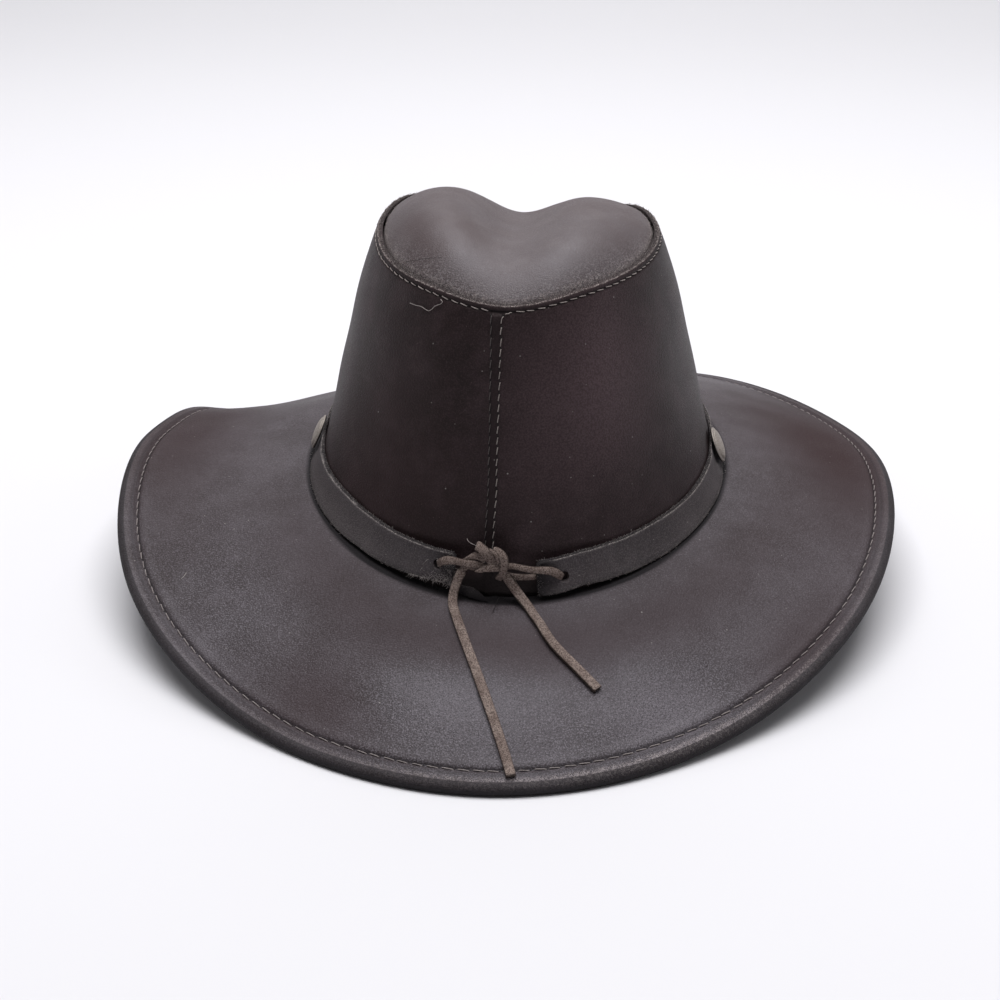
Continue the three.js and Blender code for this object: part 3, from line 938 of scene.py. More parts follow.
def band_place(around, height, out):
    """A place on the band at a height above the crown's foot; out counts from its inside."""
    turned = np.mod(around, 360)
    from_end = np.minimum(turned - BAND_RIGHT_END, BAND_LEFT_END - turned)
    lift = BAND_END_LIFT * smoothstep(BAND_LIFT_LENGTH - from_end, 0, BAND_LIFT_LENGTH)
    return wall_point(turned, height / wall_height(turned), GAP + lift + out)


def normal_of(surface, around, out, step=0.5):
    """Unit normal of a surface given by around and out, turned to the outside."""
    turn = step / BREAK_HALF_LENGTH * 180 / math.pi
    along = surface(around + turn, out) - surface(around - turn, out)
    across = surface(around, out + step) - surface(around, out - step)
    return unit(np.cross(across, along))


def smooth_line(rows, spacing):
    """A Catmull-Rom line through points, with about the given spacing between its points."""
    rows = np.asarray(rows, float)
    padded = np.concatenate([2 * rows[:1] - rows[1:2], rows, 2 * rows[-1:] - rows[-2:-1]])
    pieces = []
    for index in range(len(rows) - 1):
        before, start, end, beyond = padded[index:index + 4]
        steps = max(2, math.ceil(np.linalg.norm(end[:3] - start[:3]) / spacing))
        share = np.arange(steps)[:, None] / steps
        pieces.append(0.5 * (2 * start + (end - before) * share
                             + (2 * before - 5 * start + 4 * end - beyond) * share ** 2
                             + (3 * start - before - 3 * end + beyond) * share ** 3))
    return np.concatenate(pieces + [rows[-1:]])


def evenly(line, count):
    """The line again with count points at equal steps along it."""
    lengths = np.concatenate([[0], np.cumsum(np.linalg.norm(np.diff(line[:, :3], axis=0), axis=1))])
    places = np.linspace(0, lengths[-1], count)
    return np.stack([np.interp(places, lengths, column) for column in line.T], axis=-1)


def grid_faces(sections, count, ring):
    spans = sections if ring else sections - 1
    section, step = np.meshgrid(np.arange(spans), np.arange(count), indexing="ij")
    after = (step + 1) % count
    following = (section + 1) % sections
    corners = [section * count + step, section * count + after,
               following * count + after, following * count + step]
    return np.stack(corners, axis=-1).reshape(-1, 4)


def turned_outward(points, faces):
    """The quads, turned over if the body that they close would have a negative volume."""
    middle = points.mean(axis=0)
    first, second, third, fourth = (points[faces[:, corner]] - middle for corner in range(4))
    volume = (np.einsum("ij,ij->", first, np.cross(second, third))
              + np.einsum("ij,ij->", first, np.cross(third, fourth)))
    return faces if volume > 0 else faces[:, ::-1]


def skin(sections, ring=True):
    """One closed body from a grid of points: (sections, points round each section, 3). With ring
    the last section meets the first, otherwise the end sections are closed flat."""
    count = sections.shape[1]
    points = sections.reshape(-1, 3)
    faces = grid_faces(len(sections), count, ring)
    turned = turned_outward(points, faces)
    polygons = turned.tolist()
    if not ring:
        start = list(range(count))
        end = [len(points) - count + index for index in start]
        same = turned is faces
        polygons.append(start[::-1] if same else start)
        polygons.append(end if same else end[::-1])
    return points, polygons


def new_object(name, points, polygons, smooth=True):
    """An object with a mesh from points in the row frame. It isn't in the scene yet."""
    mesh = bpy.data.meshes.new(name)
    mesh.from_pydata(points, [], polygons)
    mesh.polygons.foreach_set("use_smooth", [smooth] * len(mesh.polygons))
    return bpy.data.objects.new(name, mesh)


def add_piece(name, points, polygons, material, nodes=(), weights=None):
    """A piece from points in the hat's frame. It rides on the hat's one body."""
    piece = new_object(name, to_world(points).tolist(), polygons)
    for attribute, values in (weights or {}).items():
        layer = piece.data.attributes.new(attribute, "FLOAT", "POINT")
        layer.data.foreach_set("value", np.ravel(values).astype(float))
    piece.data.materials.append(material)
    piece.data.update()
    bpy.context.scene.collection.objects.link(piece)
    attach(piece, "root")
    if nodes:
        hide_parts(*nodes)
    return piece


def joined(parts):
    """Several bodies as one list of points and one of polygons."""
    points = []
    polygons = []
    start = 0
    for part_points, part_polygons in parts:
        points.append(part_points)
        polygons += [[index + start for index in polygon] for polygon in part_polygons]
        start += len(part_points)
    return np.concatenate(points), polygons


def framed(line, normals):
    """Side and normal directions along a line, square to it."""
    tangents = unit(np.gradient(line, axis=0))
    sides = unit(np.cross(tangents, normals))
    return sides, np.cross(sides, tangents)


def carried(line, normal, start):
    """Normals carried along a line from the point where the given one holds, without twisting."""
    tangents = unit(np.gradient(line, axis=0))
    normals = np.zeros_like(line)
    normals[start] = normal
    for step in (1, -1):
        last = np.array(normal, float)
        for index in range(start, len(line) if step > 0 else -1, step):
            last = last - tangents[index] * np.dot(last, tangents[index])
            last = last / np.linalg.norm(last)
            normals[index] = last
    return normals


def thong(line, normals, width, thickness):
    """A flat lace along the line: a rounded rectangle, swept. Width and thickness can vary.
    With its points come their darkness: painted shade on its underside, and on its cut edges their
    darker colour with painted shade."""
    sides, ups = framed(line, normals)
    width = np.broadcast_to(width, len(line))
    thickness = np.broadcast_to(thickness, len(line))
    radius = np.minimum(LACE_CORNER, thickness / 2)
    angles = np.radians(LACE_CORNER_ANGLES)
    quarter = np.stack([np.cos(angles), np.sin(angles)], axis=-1)
    sections = []
    shades = []
    for index, (across, upward) in enumerate([(1, 1), (-1, 1), (-1, -1), (1, -1)]):
        for x, y in quarter if index % 2 == 0 else quarter[::-1]:
            along_side = across * (width / 2 - radius + radius * x)
            along_up = upward * (thickness / 2 - radius + radius * y)
            sections.append(line + sides * along_side[:, None] + ups * along_up[:, None])
            shades.append(UNDERSIDE_PAINTED_SHADE if upward < 0 else CUT_EDGE_TONE_AND_SHADE * smoothstep(x, 0.5, 0.9))
    points, polygons = skin(np.stack(sections, axis=1), ring=False)
    return points, polygons, np.tile(shades, len(line))


def strand(line, radius, sides=6):
    """A round thread along the line."""
    normals = np.broadcast_to(OFF_THREAD, line.shape)
    across, ups = framed(line, normals)
    angles = np.radians(np.arange(sides) * 360 / sides)
    radius = np.broadcast_to(radius, len(line))[:, None, None]
    ring = (across[:, None] * np.cos(angles)[None, :, None]
            + ups[:, None] * np.sin(angles)[None, :, None])
    return skin(line[:, None] + ring * radius, ring=False)


def camera_axes():
    """Right, up and back directions of the camera in the hat's frame."""
    elevation, yaw, roll = (math.radians(angle) for angle in
                            (CAMERA_ELEVATION, CAMERA_YAW, CAMERA_ROLL))
    back = np.array([math.sin(yaw) * math.cos(elevation), -math.cos(yaw) * math.cos(elevation),
                     math.sin(elevation)])
    right = np.array([math.cos(yaw), math.sin(yaw), 0])
    up = np.cross(back, right)
    return (right * math.cos(roll) + up * math.sin(roll),
            up * math.cos(roll) - right * math.sin(roll), back)


def add_camera():
    right, up, back = camera_axes()
    aside = (CAMERA_U - IMAGE_SIZE / 2) / CAMERA_FOCUS * CAMERA_DISTANCE
    above = -(CAMERA_V - IMAGE_SIZE / 2) / CAMERA_FOCUS * CAMERA_DISTANCE
    looked_at = np.array([0, 0, break_height])
    place = looked_at - right * aside - up * above + back * CAMERA_DISTANCE
    turn = pitch_matrix @ np.stack([right, up, back], axis=1)
    data = bpy.data.cameras.new("camera")
    data.sensor_width = SENSOR
    data.lens = CAMERA_FOCUS / IMAGE_SIZE * SENSOR
    data.clip_start = CAMERA_NEAR
    camera = bpy.data.objects.new("camera", data)
    matrix = Matrix(turn.tolist()).to_4x4()
    matrix.translation = to_world(place)
    camera.matrix_world = matrix
    bpy.context.scene.collection.objects.link(camera)
    bpy.context.scene.camera = camera


def lace_line(rows):
    """The route of a tail over the brim, and the way its flat side faces."""
    around, out, above = columns(rows, "around", "out", "above")
    point = brim_point(around, out)
    point[:, 2] += above - LACE_LOWERED
    lying = normal_of(brim_point, around, out)
    hanging = smoothstep(above, HANGING_FROM, HANGING_TO)[:, None]
    normals = unit(blend(lying, outward(around), hanging))
    line = evenly(smooth_line(np.concatenate([point, normals], axis=1), LACE_SPACING), TAIL_POINTS)
    return line[:, :3], unit(line[:, 3:])


def add_tail(name, node, rows, material):
    line, normals = lace_line(rows)
    draw = np.random.default_rng(len(rows))
    uneven = 1 + LACE_DRIFT * np.cumsum(draw.normal(0, 0.25, len(line)))
    width = LACE_WIDTH * np.clip(uneven, 1 - LACE_UNEVEN, 1 + LACE_UNEVEN)
    points, polygons, dark = thong(line, normals, width, LACE_THICKNESS)
    tail = add_piece(name, points, polygons, material, [node], dict(dark=dark))
    return tail


def shading(rows, around, across):
    """How much darker, or below 0 how much paler, the leather is there by a table of patches."""
    total = np.zeros(np.broadcast(around, across).shape)
    for row in rows:
        total += row["dark"] * (bump(from_back(around), row["around"], row["half_turn"])
                                * bump(across, row["across"], row["half_width"]))
    return total


def shade_and_light_weights(shade):
    """The weights of the darker patches, painted shade and stain, and of the paler ones, painted light."""
    return dict(stain_and_shade=np.maximum(shade, 0), painted_light=np.maximum(-shade, 0))


def brim_relief(around, out, place):
    """How far the brim's upper side stands over its plain surface: swells, lap and grooves."""
    distance = round_the_hat(BRIM_ROWS, "reach", around) - out
    swell = smoothstep(distance, *SWELL_FROM_EDGE) * smoothstep(out, *SWELL_FROM_CROWN)
    relief = SWELL_HEIGHT * wobble(place[..., 0], place[..., 1], SWELL_SIZE, seed=5) * swell
    relief += LAP_HEIGHT * (1 - smoothstep(distance, LAP_OUTER, LAP_INNER))
    return relief + soft_lines(BRIM_LINES, distance, "rise")


def dressed_brim(around, out):
    place = brim_point(around, out)
    place[..., 2] += brim_relief(around, out, place)
    return place


def brim_outs(reach):
    """Distances out from the break line of the rows on the brim's upper side."""
    rows = [np.full(len(reach), out) for out in np.arange(-CROWN_INSET - PANEL, FOOT_ZONE, 1.0)]
    rows += [blend(FOOT_ZONE, reach - EDGE_ZONE, share) for share in np.linspace(0, 1, INNER_ROWS)[:-1]]
    rows += [reach - distance for distance in np.arange(EDGE_ZONE, 0, -EDGE_ROW_STEP)]
    return np.stack(rows, axis=1)


def roll_side(middle, distance, side):
    """The rolled edge's upper (side 1) or lower (side -1) half, upward on its own side."""
    height = np.sqrt(np.maximum(EDGE_ROLL_RADIUS ** 2 - distance ** 2, 0))
    return np.where(distance < EDGE_ROLL_RADIUS, side * middle[:, None, 2] + height, -FAR_AWAY)


def brim_sections(around):
    """The brim's section at each station: its upper side, the rolled edge and the hem under it."""
    reach = round_the_hat(BRIM_ROWS, "reach", around)
    middle = edge_middle(around)
    outs = brim_outs(reach)
    upper = dressed_brim(around[:, None], outs)
    distance = reach[:, None] - outs
    upper[..., 2] = smooth_max(upper[..., 2], roll_side(middle, distance, 1), ROLL_BLEND)
    angles = np.radians(np.linspace(90, -90, ROLL_ROWS))
    roll = middle[:, None] + outward(around)[:, None] * (EDGE_ROLL_RADIUS * np.cos(angles))[:, None]
    roll[..., 2] += EDGE_ROLL_RADIUS * np.sin(angles)
    under = np.concatenate([np.linspace(HEM_START, HEM_WIDTH, HEM_ROWS), [HEM_WIDTH + HEM_STEP],
                            np.linspace(HEM_WIDTH + 2 * HEM_STEP, UNDER_REACH, HEM_ROWS)])
    under_outs = np.maximum(reach[:, None] - under, 0)
    under_outs[:, -1] = 0
    under_outs = np.insert(under_outs, len(under), -CROWN_INSET - PANEL, axis=1)
    lower = brim_point(around[:, None], under_outs)
    lower_distance = reach[:, None] - under_outs
    hem_share = 1 - smoothstep(lower_distance, HEM_WIDTH, HEM_WIDTH + HEM_FADE)
    hem = BRIM_SHEET + HEM_THICKNESS * hem_share
    lower[..., 2] = -smooth_max(hem - lower[..., 2], roll_side(middle, lower_distance, -1), ROLL_BLEND)
    points = np.concatenate([upper, roll, lower], axis=1)
    points[..., 2] = np.maximum(points[..., 2], floor_at(points[..., 1]))
    return points, brim_weights(around, outs, distance, angles, lower.shape[1])


def brim_weights(around, outs, distance, angles, under_rows):
    """Wear (on the roll partly painted glints), painted shade, patches of painted shade and light, and
    grit (painted glints where the sheen falls) on the upper side, the roll and the underside.
    """
    around = around[:, None]

    def spread(upper, roll=0.0):
        roll = np.broadcast_to(roll, (len(around), len(angles)))
        return np.concatenate([upper, roll, np.zeros((len(around), under_rows))], axis=1)

    # Wear on the roll, at the back partly painted glints
    worn = ROLL_WEAR * spread(smoothstep(-distance, *ROLL_WEAR_FROM), np.sin(np.maximum(angles, 0)))
    worn *= LEAST_WEAR + MORE_WEAR * shading(ROLL_WEAR_AND_GLINTS, around, np.zeros(worn.shape))
    # Painted shade: the brim near black under the band
    foot = FOOT_PAINTED_SHADE * (1 - smoothstep(outs - foot_shadow(around), *FOOT_SHADOW_EDGE))
    # Painted shade along the stitch groove, with some grime, at the lap's step and on the rolled edge
    dark = spread(soft_lines(BRIM_LINES, distance, "dark") + foot,
                  ROLL_PAINTED_SHADE + UNDER_ROLL_PAINTED_SHADE * smoothstep(-angles, *UNDER_ROLL_FROM))
    # Pale grit, painted as glints where the brim's sheen falls
    grit = spread(np.clip(shading(BRIM_GRIT_AND_GLINTS, around, outs), 0, 1))
    # Patches of painted shade and light
    return dict(worn=worn, dark=dark, grit=grit, **shade_and_light_weights(spread(shading(BRIM_SHADES, around, outs))))


def foot_shadow(around):
    """How far out from the break line the shade painted on the brim under the band reaches."""
    return read_off(FOOT_SHADOW, "around", "out", np.abs(from_back(around)))


def add_brim(material):
    around = np.arange(BRIM_STATIONS) * 360 / BRIM_STATIONS
    sections, weights = brim_sections(around)
    points, polygons = skin(sections)
    return add_piece("brim_skin", points, polygons, material, ["brim"], weights)


def back_angle(x, share):
    """The angle of a place on the wall that lies x millimetres from the middle of the back."""
    half_width = wall_point(1.0, share)[..., 0] / math.sin(math.radians(1))
    return np.degrees(x / half_width)


def back_row(side, share):
    """The angle of the back seam's left or right row at a share of the wall's height."""
    return back_angle(read_off(BACK_SEAM, "share", side, share), share)


def back_rows(around, share, half_turn):
    """1 on either row of the back seam, and fading beside it."""
    return sum(bump(from_back(around), back_row(side, share), half_turn) for side in ("right", "left"))


def wall_relief(around, share):
    """How far the crown's outside stands out over the plain wall."""
    signed = from_back(around)
    below = (1 - share) * wall_height(around)
    right = back_row("right", share)
    left = back_row("left", share)
    strip = smoothstep(signed, left - 0.5, left - 0.05) * (1 - smoothstep(signed, right, right + 0.45))
    rough = BACK_STRIP_ROUGH * wobble(signed * 3, below, 2.6, seed=11)
    lapped = BACK_STRIP_RISE * strip * (1 + rough) * smoothstep(below, *BACK_STRIP_BELOW)
    sewn = STITCH_SINK * back_rows(around, share, STITCH_SINK_TURN) * smoothstep(below, *SEWN_BELOW)
    swell = CROWN_SWELL_HEIGHT * wobble(signed * 1.3, below, CROWN_SWELL_SIZE, seed=7)
    soft = smoothstep(below, *CROWN_SWELL_BELOW) * smoothstep(share, *CROWN_SWELL_SHARES)
    return soft_lines(CROWN_EDGE_LINES, below, "rise") + lapped - sewn + swell * soft


def dressed_wall(around, share):
    return wall_point(around, share, wall_relief(around, share))


def strip_share(around, share):
    """1 on the dark strip between the back seam's two rows, 0 beside it."""
    left = back_row("left", share)
    right = back_row("right", share)
    signed = from_back(around)
    return smoothstep(signed, left - 0.2, left) * (1 - smoothstep(signed, right, right + 0.25))


def crown_side_dark(around, share):
    """Darkness on the outside: the seam's darker strip, painted shade with some grime along the sewing,
    and painted shade at the foot and behind the knot.
    """
    below = (1 - share) * wall_height(around)
    seam = (STRIP_DARK * strip_share(around, share)
            + STITCH_SHADE_AND_GRIME * back_rows(around, share, STITCH_SHADE_AND_GRIME_TURN)) * smoothstep(below, *SEWN_BELOW)
    foot = 1 - smoothstep(share, *FOOT_PAINTED_SHADE_SHARES)
    knot = (bump(from_back(around), KNOT_AROUND, KNOT_HALF_TURN)
            * (1 - smoothstep(share, *KNOT_PAINTED_SHADE_SHARES)))
    edge = soft_lines(CROWN_EDGE_LINES, below, "dark")
    return np.clip(edge + seam + CROWN_FOOT_PAINTED_SHADE * (foot + knot), 0, 1)


def add_crown_side(material):
    """Side of the crown: outside, raw upper edge, inside and the foot's underside."""
    around = np.concatenate([np.arange(*CROWN_SEAM_TURN), np.arange(*CROWN_OTHER_TURN)])
    outside = np.concatenate([np.linspace(*CROWN_LOW_ROWS)[:-1], np.linspace(*CROWN_MIDDLE_ROWS)[:-1],
                              np.linspace(*CROWN_HIGH_ROWS)])
    inside = np.linspace(*CROWN_INSIDE_ROWS)[1:]
    edge = np.linspace(*CROWN_EDGE_ROWS)
    share = np.concatenate([outside, np.ones(len(edge)), inside])
    depth = np.concatenate([np.zeros(len(outside)), edge, np.ones(len(inside))])
    raw = np.concatenate([np.zeros(len(outside) - 1), CROWN_EDGE_WEAR, np.zeros(len(inside))])
    around, share = np.meshgrid(around, share, indexing="ij")
    points = wall_point(around, share, wall_relief(around, share) * (depth == 0) - PANEL * depth)
    draw = np.random.default_rng(21)
    points[..., 2] += draw.normal(0, EDGE_UNEVEN, points.shape[:2]) * (raw > 0)
    dark = (depth == 0) * crown_side_dark(around, share)
    dark = np.where((depth > 0) & (share == 1), EDGE_DARK, dark)
    # Patches of painted light and shade on the crown
    shade = shading(CROWN_SHADES, around, share)
    weights = dict(worn=raw * np.ones_like(share), dark=dark, **shade_and_light_weights(shade))
    body, polygons = skin(points)
    return add_piece("crown_side_skin", body, polygons, material, ["crown_side"], weights)


def add_crown_top(material):
    """Top piece: its dented upper side, folded down at the edge into a margin inside the wall."""
    around = np.arange(0, 360, TOP_TURN_STEP)
    edge = top_point(around, 1.0)
    length = np.hypot(edge[:, 0], edge[:, 1] - SEAM_MIDDLE_Y)
    inner = [np.full(len(around), rim) for rim in np.linspace(*TOP_ROWS)]
    rims = np.stack(inner + [1 - distance / length for distance in TOP_FOLD_ROWS])
    upper = top_point(around, rims)
    from_edge = (1 - rims) * length
    curled = TOP_FOLD_RADIUS - np.clip(from_edge, 0, TOP_FOLD_RADIUS)
    fold = TOP_FOLD_RADIUS - np.sqrt(TOP_FOLD_RADIUS ** 2 - curled ** 2)
    uneven = TOP_UNEVEN * wobble(upper[..., 0], upper[..., 1], TOP_UNEVEN_SIZE, seed=17)
    upper[..., 2] += uneven * smoothstep(-rims, *TOP_UNEVEN_FROM) - fold
    lowest = 1 - TOP_MARGIN / wall_height(around)
    margin = [wall_point(around, lowest, -PANEL * sheets - GAP) for sheets in (1, 2)]
    below = top_point(around, np.linspace(*TOP_INSIDE_ROWS)[:, None])
    below[..., 2] -= PANEL
    rings = np.concatenate([upper, np.stack(margin), below])
    worn = np.zeros(rings.shape[:2])
    worn[:len(rims)] = TOP_EDGE_WEAR * bump(from_edge, TOP_WEAR_IN, TOP_WEAR_HALF_WIDTH)
    grit = np.zeros(rings.shape[:2])
    grit[:len(rims)] = TOP_GRIT * smoothstep(rims, *TOP_GRIT_RIMS)
    points, polygons = skin(rings, ring=False)
    weights = dict(worn=worn, grit=grit)
    return add_piece("crown_top_skin", points, polygons, material, ["crown_top"], weights)


def punched(piece, cutters):
    """The piece with the cutters' bodies taken out of it for good."""
    for cutter in cutters:
        bpy.context.scene.collection.objects.link(cutter)
        modifier = piece.modifiers.new("punch", "BOOLEAN")
        modifier.operation = "DIFFERENCE"
        modifier.solver = "EXACT"
        modifier.object = cutter
    bpy.context.view_layer.update()
    graph = bpy.context.evaluated_depsgraph_get()
    piece.data = bpy.data.meshes.new_from_object(piece.evaluated_get(graph))
    piece.modifiers.clear()
    for cutter in cutters:
        bpy.data.objects.remove(cutter)


def hole_cutter(hole):
    """A round punch square to the band at a hole."""
    axis = outward(hole["around"])
    middle = band_place(hole["around"], hole["height"], PANEL / 2)
    line = middle + axis * np.linspace(-3, 3, 4)[:, None] * PANEL
    points, polygons = strand(line, HOLE_RADIUS, HOLE_SIDES)
    return new_object("punch", to_world(points).tolist(), polygons, smooth=False)


def add_band(material):
    """The strap with its rough cut edges and its loose ends."""
    around = np.concatenate([
        np.arange(BAND_RIGHT_END, BAND_FINE_TURN, BAND_FINE_STEP),
        np.arange(BAND_FINE_TURN, 360 - BAND_FINE_TURN, BAND_COARSE_STEP),
        np.arange(360 - BAND_FINE_TURN, BAND_LEFT_END + 0.01, BAND_FINE_STEP),
    ])
    outer = np.concatenate([np.linspace(0.02, 0.92, 13), [0.955, 0.975, 0.99]])
    up = np.concatenate([outer, [1.0, 1.01, 1.0], outer[::-3], [0.0, -0.01, 0.0]])
    out = np.concatenate([np.full(16, PANEL), [1.8, 1.0, 0.2], np.zeros(6), [0.2, 1.0, 1.8]])
    raw = np.concatenate([[0.5], np.zeros(13), [0.1, 0.9], [0.5, 0.1, 0], np.zeros(6), [0, 0.1, 0.3]])
    around, up = np.meshgrid(around, up, indexing="ij")
    draw = np.random.default_rng(31)
    rough = draw.normal(0, 1, up.shape) * raw
    curl = BAND_CURL * bump(around, BAND_LEFT_END, BAND_CURL_HALF_TURN) * (1 - up) ** 2
    uneven = BAND_UNEVEN * wobble(around * 1.5, up * 12, 14, seed=33)
    conchos = sum(bump(around, side, CONCHO_PRESS_HALF_TURN)
                  for side in (CONCHO_AROUND, 360 - CONCHO_AROUND))
    sunk = BAND_EDGE_SKIVED * smoothstep(up, 0.96, 1) + CONCHO_PRESS * conchos
    out = np.maximum(out + uneven + curl - sunk * (out > 0), 0.3 * (out > 0)) + BAND_ROUGH * rough
    from_end = np.minimum(around - BAND_RIGHT_END, BAND_LEFT_END - around)
    rounded = 1 - BAND_END_ROUNDING * (1 - smoothstep(from_end, 0, BAND_END_ROUNDED_TURN)) ** 2
    ragged = 0.02 * draw.normal(0, 1, up.shape) * (1 - smoothstep(from_end, 0, 2))
    points = band_point(around, 0.5 + (up - 0.5) * rounded + 0.012 * rough + ragged, out)
    body, polygons = skin(points, ring=False)
    # Painted shade along the lower edge and on the upper edge by the crown; below, painted shade at the
    # ends and painted light on the left side
    dark = np.maximum(BAND_LOWER_PAINTED_SHADE * (1 - smoothstep(up, 0.0, 0.2)),
                      BAND_UPPER_PAINTED_SHADE * (up >= 1) * (out < 1.6))
    kept = 1 - soft_lines(BAND_END_LINES, around, "unworn")
    weights = dict(worn=raw * kept, dark=np.maximum(dark, soft_lines(BAND_END_LINES, around, "dark")),
                   painted_light=shade_and_light_weights(shading(BAND_SHADES, around, up))["painted_light"])
    band = add_piece("band_strap", body, polygons, material, ["hatband"], weights)
    punched(band, [hole_cutter(hole) for hole in HOLES])
    return band


def concho_frame(around):
    """Place of a concho's seat and its turn: columns across, away from the band and up."""
    height = break_point(around)[2] + CONCHO_ABOVE_BREAK
    low = band_place(around, BAND_LOW, PANEL + GAP - CONCHO_PRESS)
    high = band_place(around, BAND_HIGH, PANEL + GAP - CONCHO_PRESS)
    up = unit(high - low)
    away = outward(around)
    along = np.array([-away[1], away[0], 0])
    facing = unit(np.cross(along, up))
    share = (height - low[2]) / (high[2] - low[2])
    return blend(low, high, share), np.stack([-along, facing, up], axis=1)


def add_concho(name, around, material):
    """A low dome with a rounded rim and a flat back painted dark as shade, turned on a lathe."""
    face = CONCHO_SEAT + CONCHO_THICKNESS
    bend = CONCHO_THICKNESS / 2
    turned = [(CONCHO_SEAT_RADIUS, 0.0), (CONCHO_SEAT_RADIUS, CONCHO_SEAT),
              (CONCHO_RADIUS - CONCHO_BACK_INSET, CONCHO_SEAT)]
    for angle in np.radians(np.linspace(-70, 90, 9)):
        turned.append((CONCHO_RADIUS - bend + bend * math.cos(angle), face - bend + bend * math.sin(angle)))
    dome_radius = CONCHO_RADIUS - CONCHO_RIM_WIDTH - bend
    for angle in np.radians(np.linspace(3, 88, 16)):
        turned.append((dome_radius * math.cos(angle), face + CONCHO_DOME_HEIGHT * math.sin(angle)))
    turn = np.radians(np.arange(0, 360, CONCHO_STEP))
    radius, height = np.array(turned).T
    points = xyz(radius[:, None] * np.cos(turn), height[:, None], radius[:, None] * np.sin(turn))
    place, basis = concho_frame(around)
    body, polygons = skin(points @ basis.T + place, ring=False)
    # Painted shade: the seat and the flat back near black
    sunk = np.repeat(1 - smoothstep(height, CONCHO_SEAT + 0.25, face - 0.25), len(turn))
    weights = dict(dark=CONCHO_BACK_PAINTED_SHADE * sunk)
    add_piece(name + "_metal", body, polygons, material, [name], weights)


def back_place(x, out, up):
    """A place near the middle of the back, as the knot's tables count it."""
    y = -BREAK_HALF_LENGTH * np.sqrt(1 - (x / BREAK_HALF_WIDTH) ** 2) - out
    return xyz(x, y, break_height + up)


def ribbon(rows, thickness, seed):
    """A flat strand through a table's places, facing outward at its foremost row."""
    x, out, up, width = columns(rows, "x", "out", "up", "width")
    path = np.concatenate([back_place(x, out, up), width[:, None]], axis=1)
    path = smooth_line(path, KNOT_SPACING)
    line = path[:, :3]
    foremost = int(np.argmin(line[:, 1]))
    facing = unit(np.array([line[foremost, 0] * KNOT_FACES_ASIDE, -BREAK_HALF_WIDTH,
                            BREAK_HALF_WIDTH * KNOT_FACES_UP]))
    draw = np.random.default_rng(seed)
    drift = KNOT_DRIFT * np.cumsum(draw.normal(0, 1, len(line)))
    uneven = 1 + np.clip(drift, -KNOT_UNEVEN, KNOT_UNEVEN)
    return thong(line, carried(line, facing, foremost), path[:, 3] * uneven, thickness)


def add_knot(material):
    parts = [ribbon(rows, KNOT_THICKNESS, seed) for seed, rows in enumerate(KNOT.values())]
    points, polygons = joined([part[:2] for part in parts])
    dark = np.concatenate([part[2] for part in parts])
    return add_piece("lace_knot", points, polygons, material, ["lace_tie"], dict(dark=dark))


def add_flap(material):
    """The torn strip that hangs out from under the band's left end."""
    points, polygons, _ = ribbon(FLAP, FLAP_THICKNESS, 41)
    upper = smoothstep(points[:, 2] - break_height, 1.0, 4.2)
    # Painted shade over the flap, a little less on its upper part, which is worn paler
    weights = dict(worn=FLAP_WORN * upper, dark=FLAP_PAINTED_SHADE - FLAP_WORN * upper)
    return add_piece("band_flap", points, polygons, material, weights=weights)


def stitch_row(line, normals, pitch, seed, fill=STITCH_FILL, radius=THREAD_RADIUS):
    """Stitches along a line on the leather, and the pricked holes at their far ends."""
    lengths = np.concatenate([[0], np.cumsum(np.linalg.norm(np.diff(line, axis=0), axis=1))])
    sides, ups = framed(line, normals)
    draw = np.random.default_rng(seed)

    def at(values, place):
        return np.stack([np.interp(place, lengths, column) for column in values.T], axis=-1)

    share = np.linspace(0, 1, STITCH_POINTS)
    height = STITCH_RISE - (STITCH_RISE + STITCH_DIVE) * np.abs(2 * share - 1) ** STITCH_ARCH_POWER
    threads = []
    holes = []
    count = round(lengths[-1] / pitch)
    pitch = lengths[-1] / count
    for index in range(count):
        start = (index + draw.uniform(-STITCH_SHIFT, STITCH_SHIFT)) * pitch
        length = pitch * (fill + draw.uniform(-STITCH_SHIFT, STITCH_SHIFT))
        place = start + length * share
        slant = (share - 0.5) * 2 * STITCH_SLANT + draw.normal(0, STITCH_TURN)
        lift = height + draw.normal(0, STITCH_LIFT)
        points = at(line, place) + at(ups, place) * lift[:, None] + at(sides, place) * slant[:, None]
        threads.append(strand(points, radius * draw.uniform(*THREAD_UNEVEN)))
        holes.append(pricked(at(line, start + length), at(ups, start + length)))
    return threads, holes


def pricked(place, normal):
    """The dark mouth of a needle hole: a shallow bead sunk in the leather, painted near black as shade."""
    across = unit(np.cross(normal, OFF_FACE))
    along = np.cross(normal, across)
    angles = np.radians(np.arange(0, 360, 45))
    ring = np.cos(angles)[:, None] * across + np.sin(angles)[:, None] * along
    rings = [place + ring * HOLE_SIZE * reach + normal * height
             for reach, height in ((0.8, -0.2), (1.0, 0.0), (0.6, 0.1))]
    return skin(np.stack(rings), ring=False)


def add_threads(name, parts, material):
    points, polygons = joined(parts)
    return add_piece(name, points, polygons, material)


def wall_line(around, share):
    """A line on the dressed wall, and its normals."""
    line = dressed_wall(around, share)
    up = dressed_wall(around, share + 0.004) - dressed_wall(around, share - 0.004)
    along = wall_point(around + 0.3, share) - wall_point(around - 0.3, share)
    return line, unit(np.cross(along, up))


def row_up(side, below):
    """Angles and shares up one row of the back seam, to a distance below the raw edge."""
    height = wall_height(0.0)
    shares = np.arange(SEAM_ROW_START, 1 - below / height, ROW_SPACING / height)
    return back_row(side, shares), shares


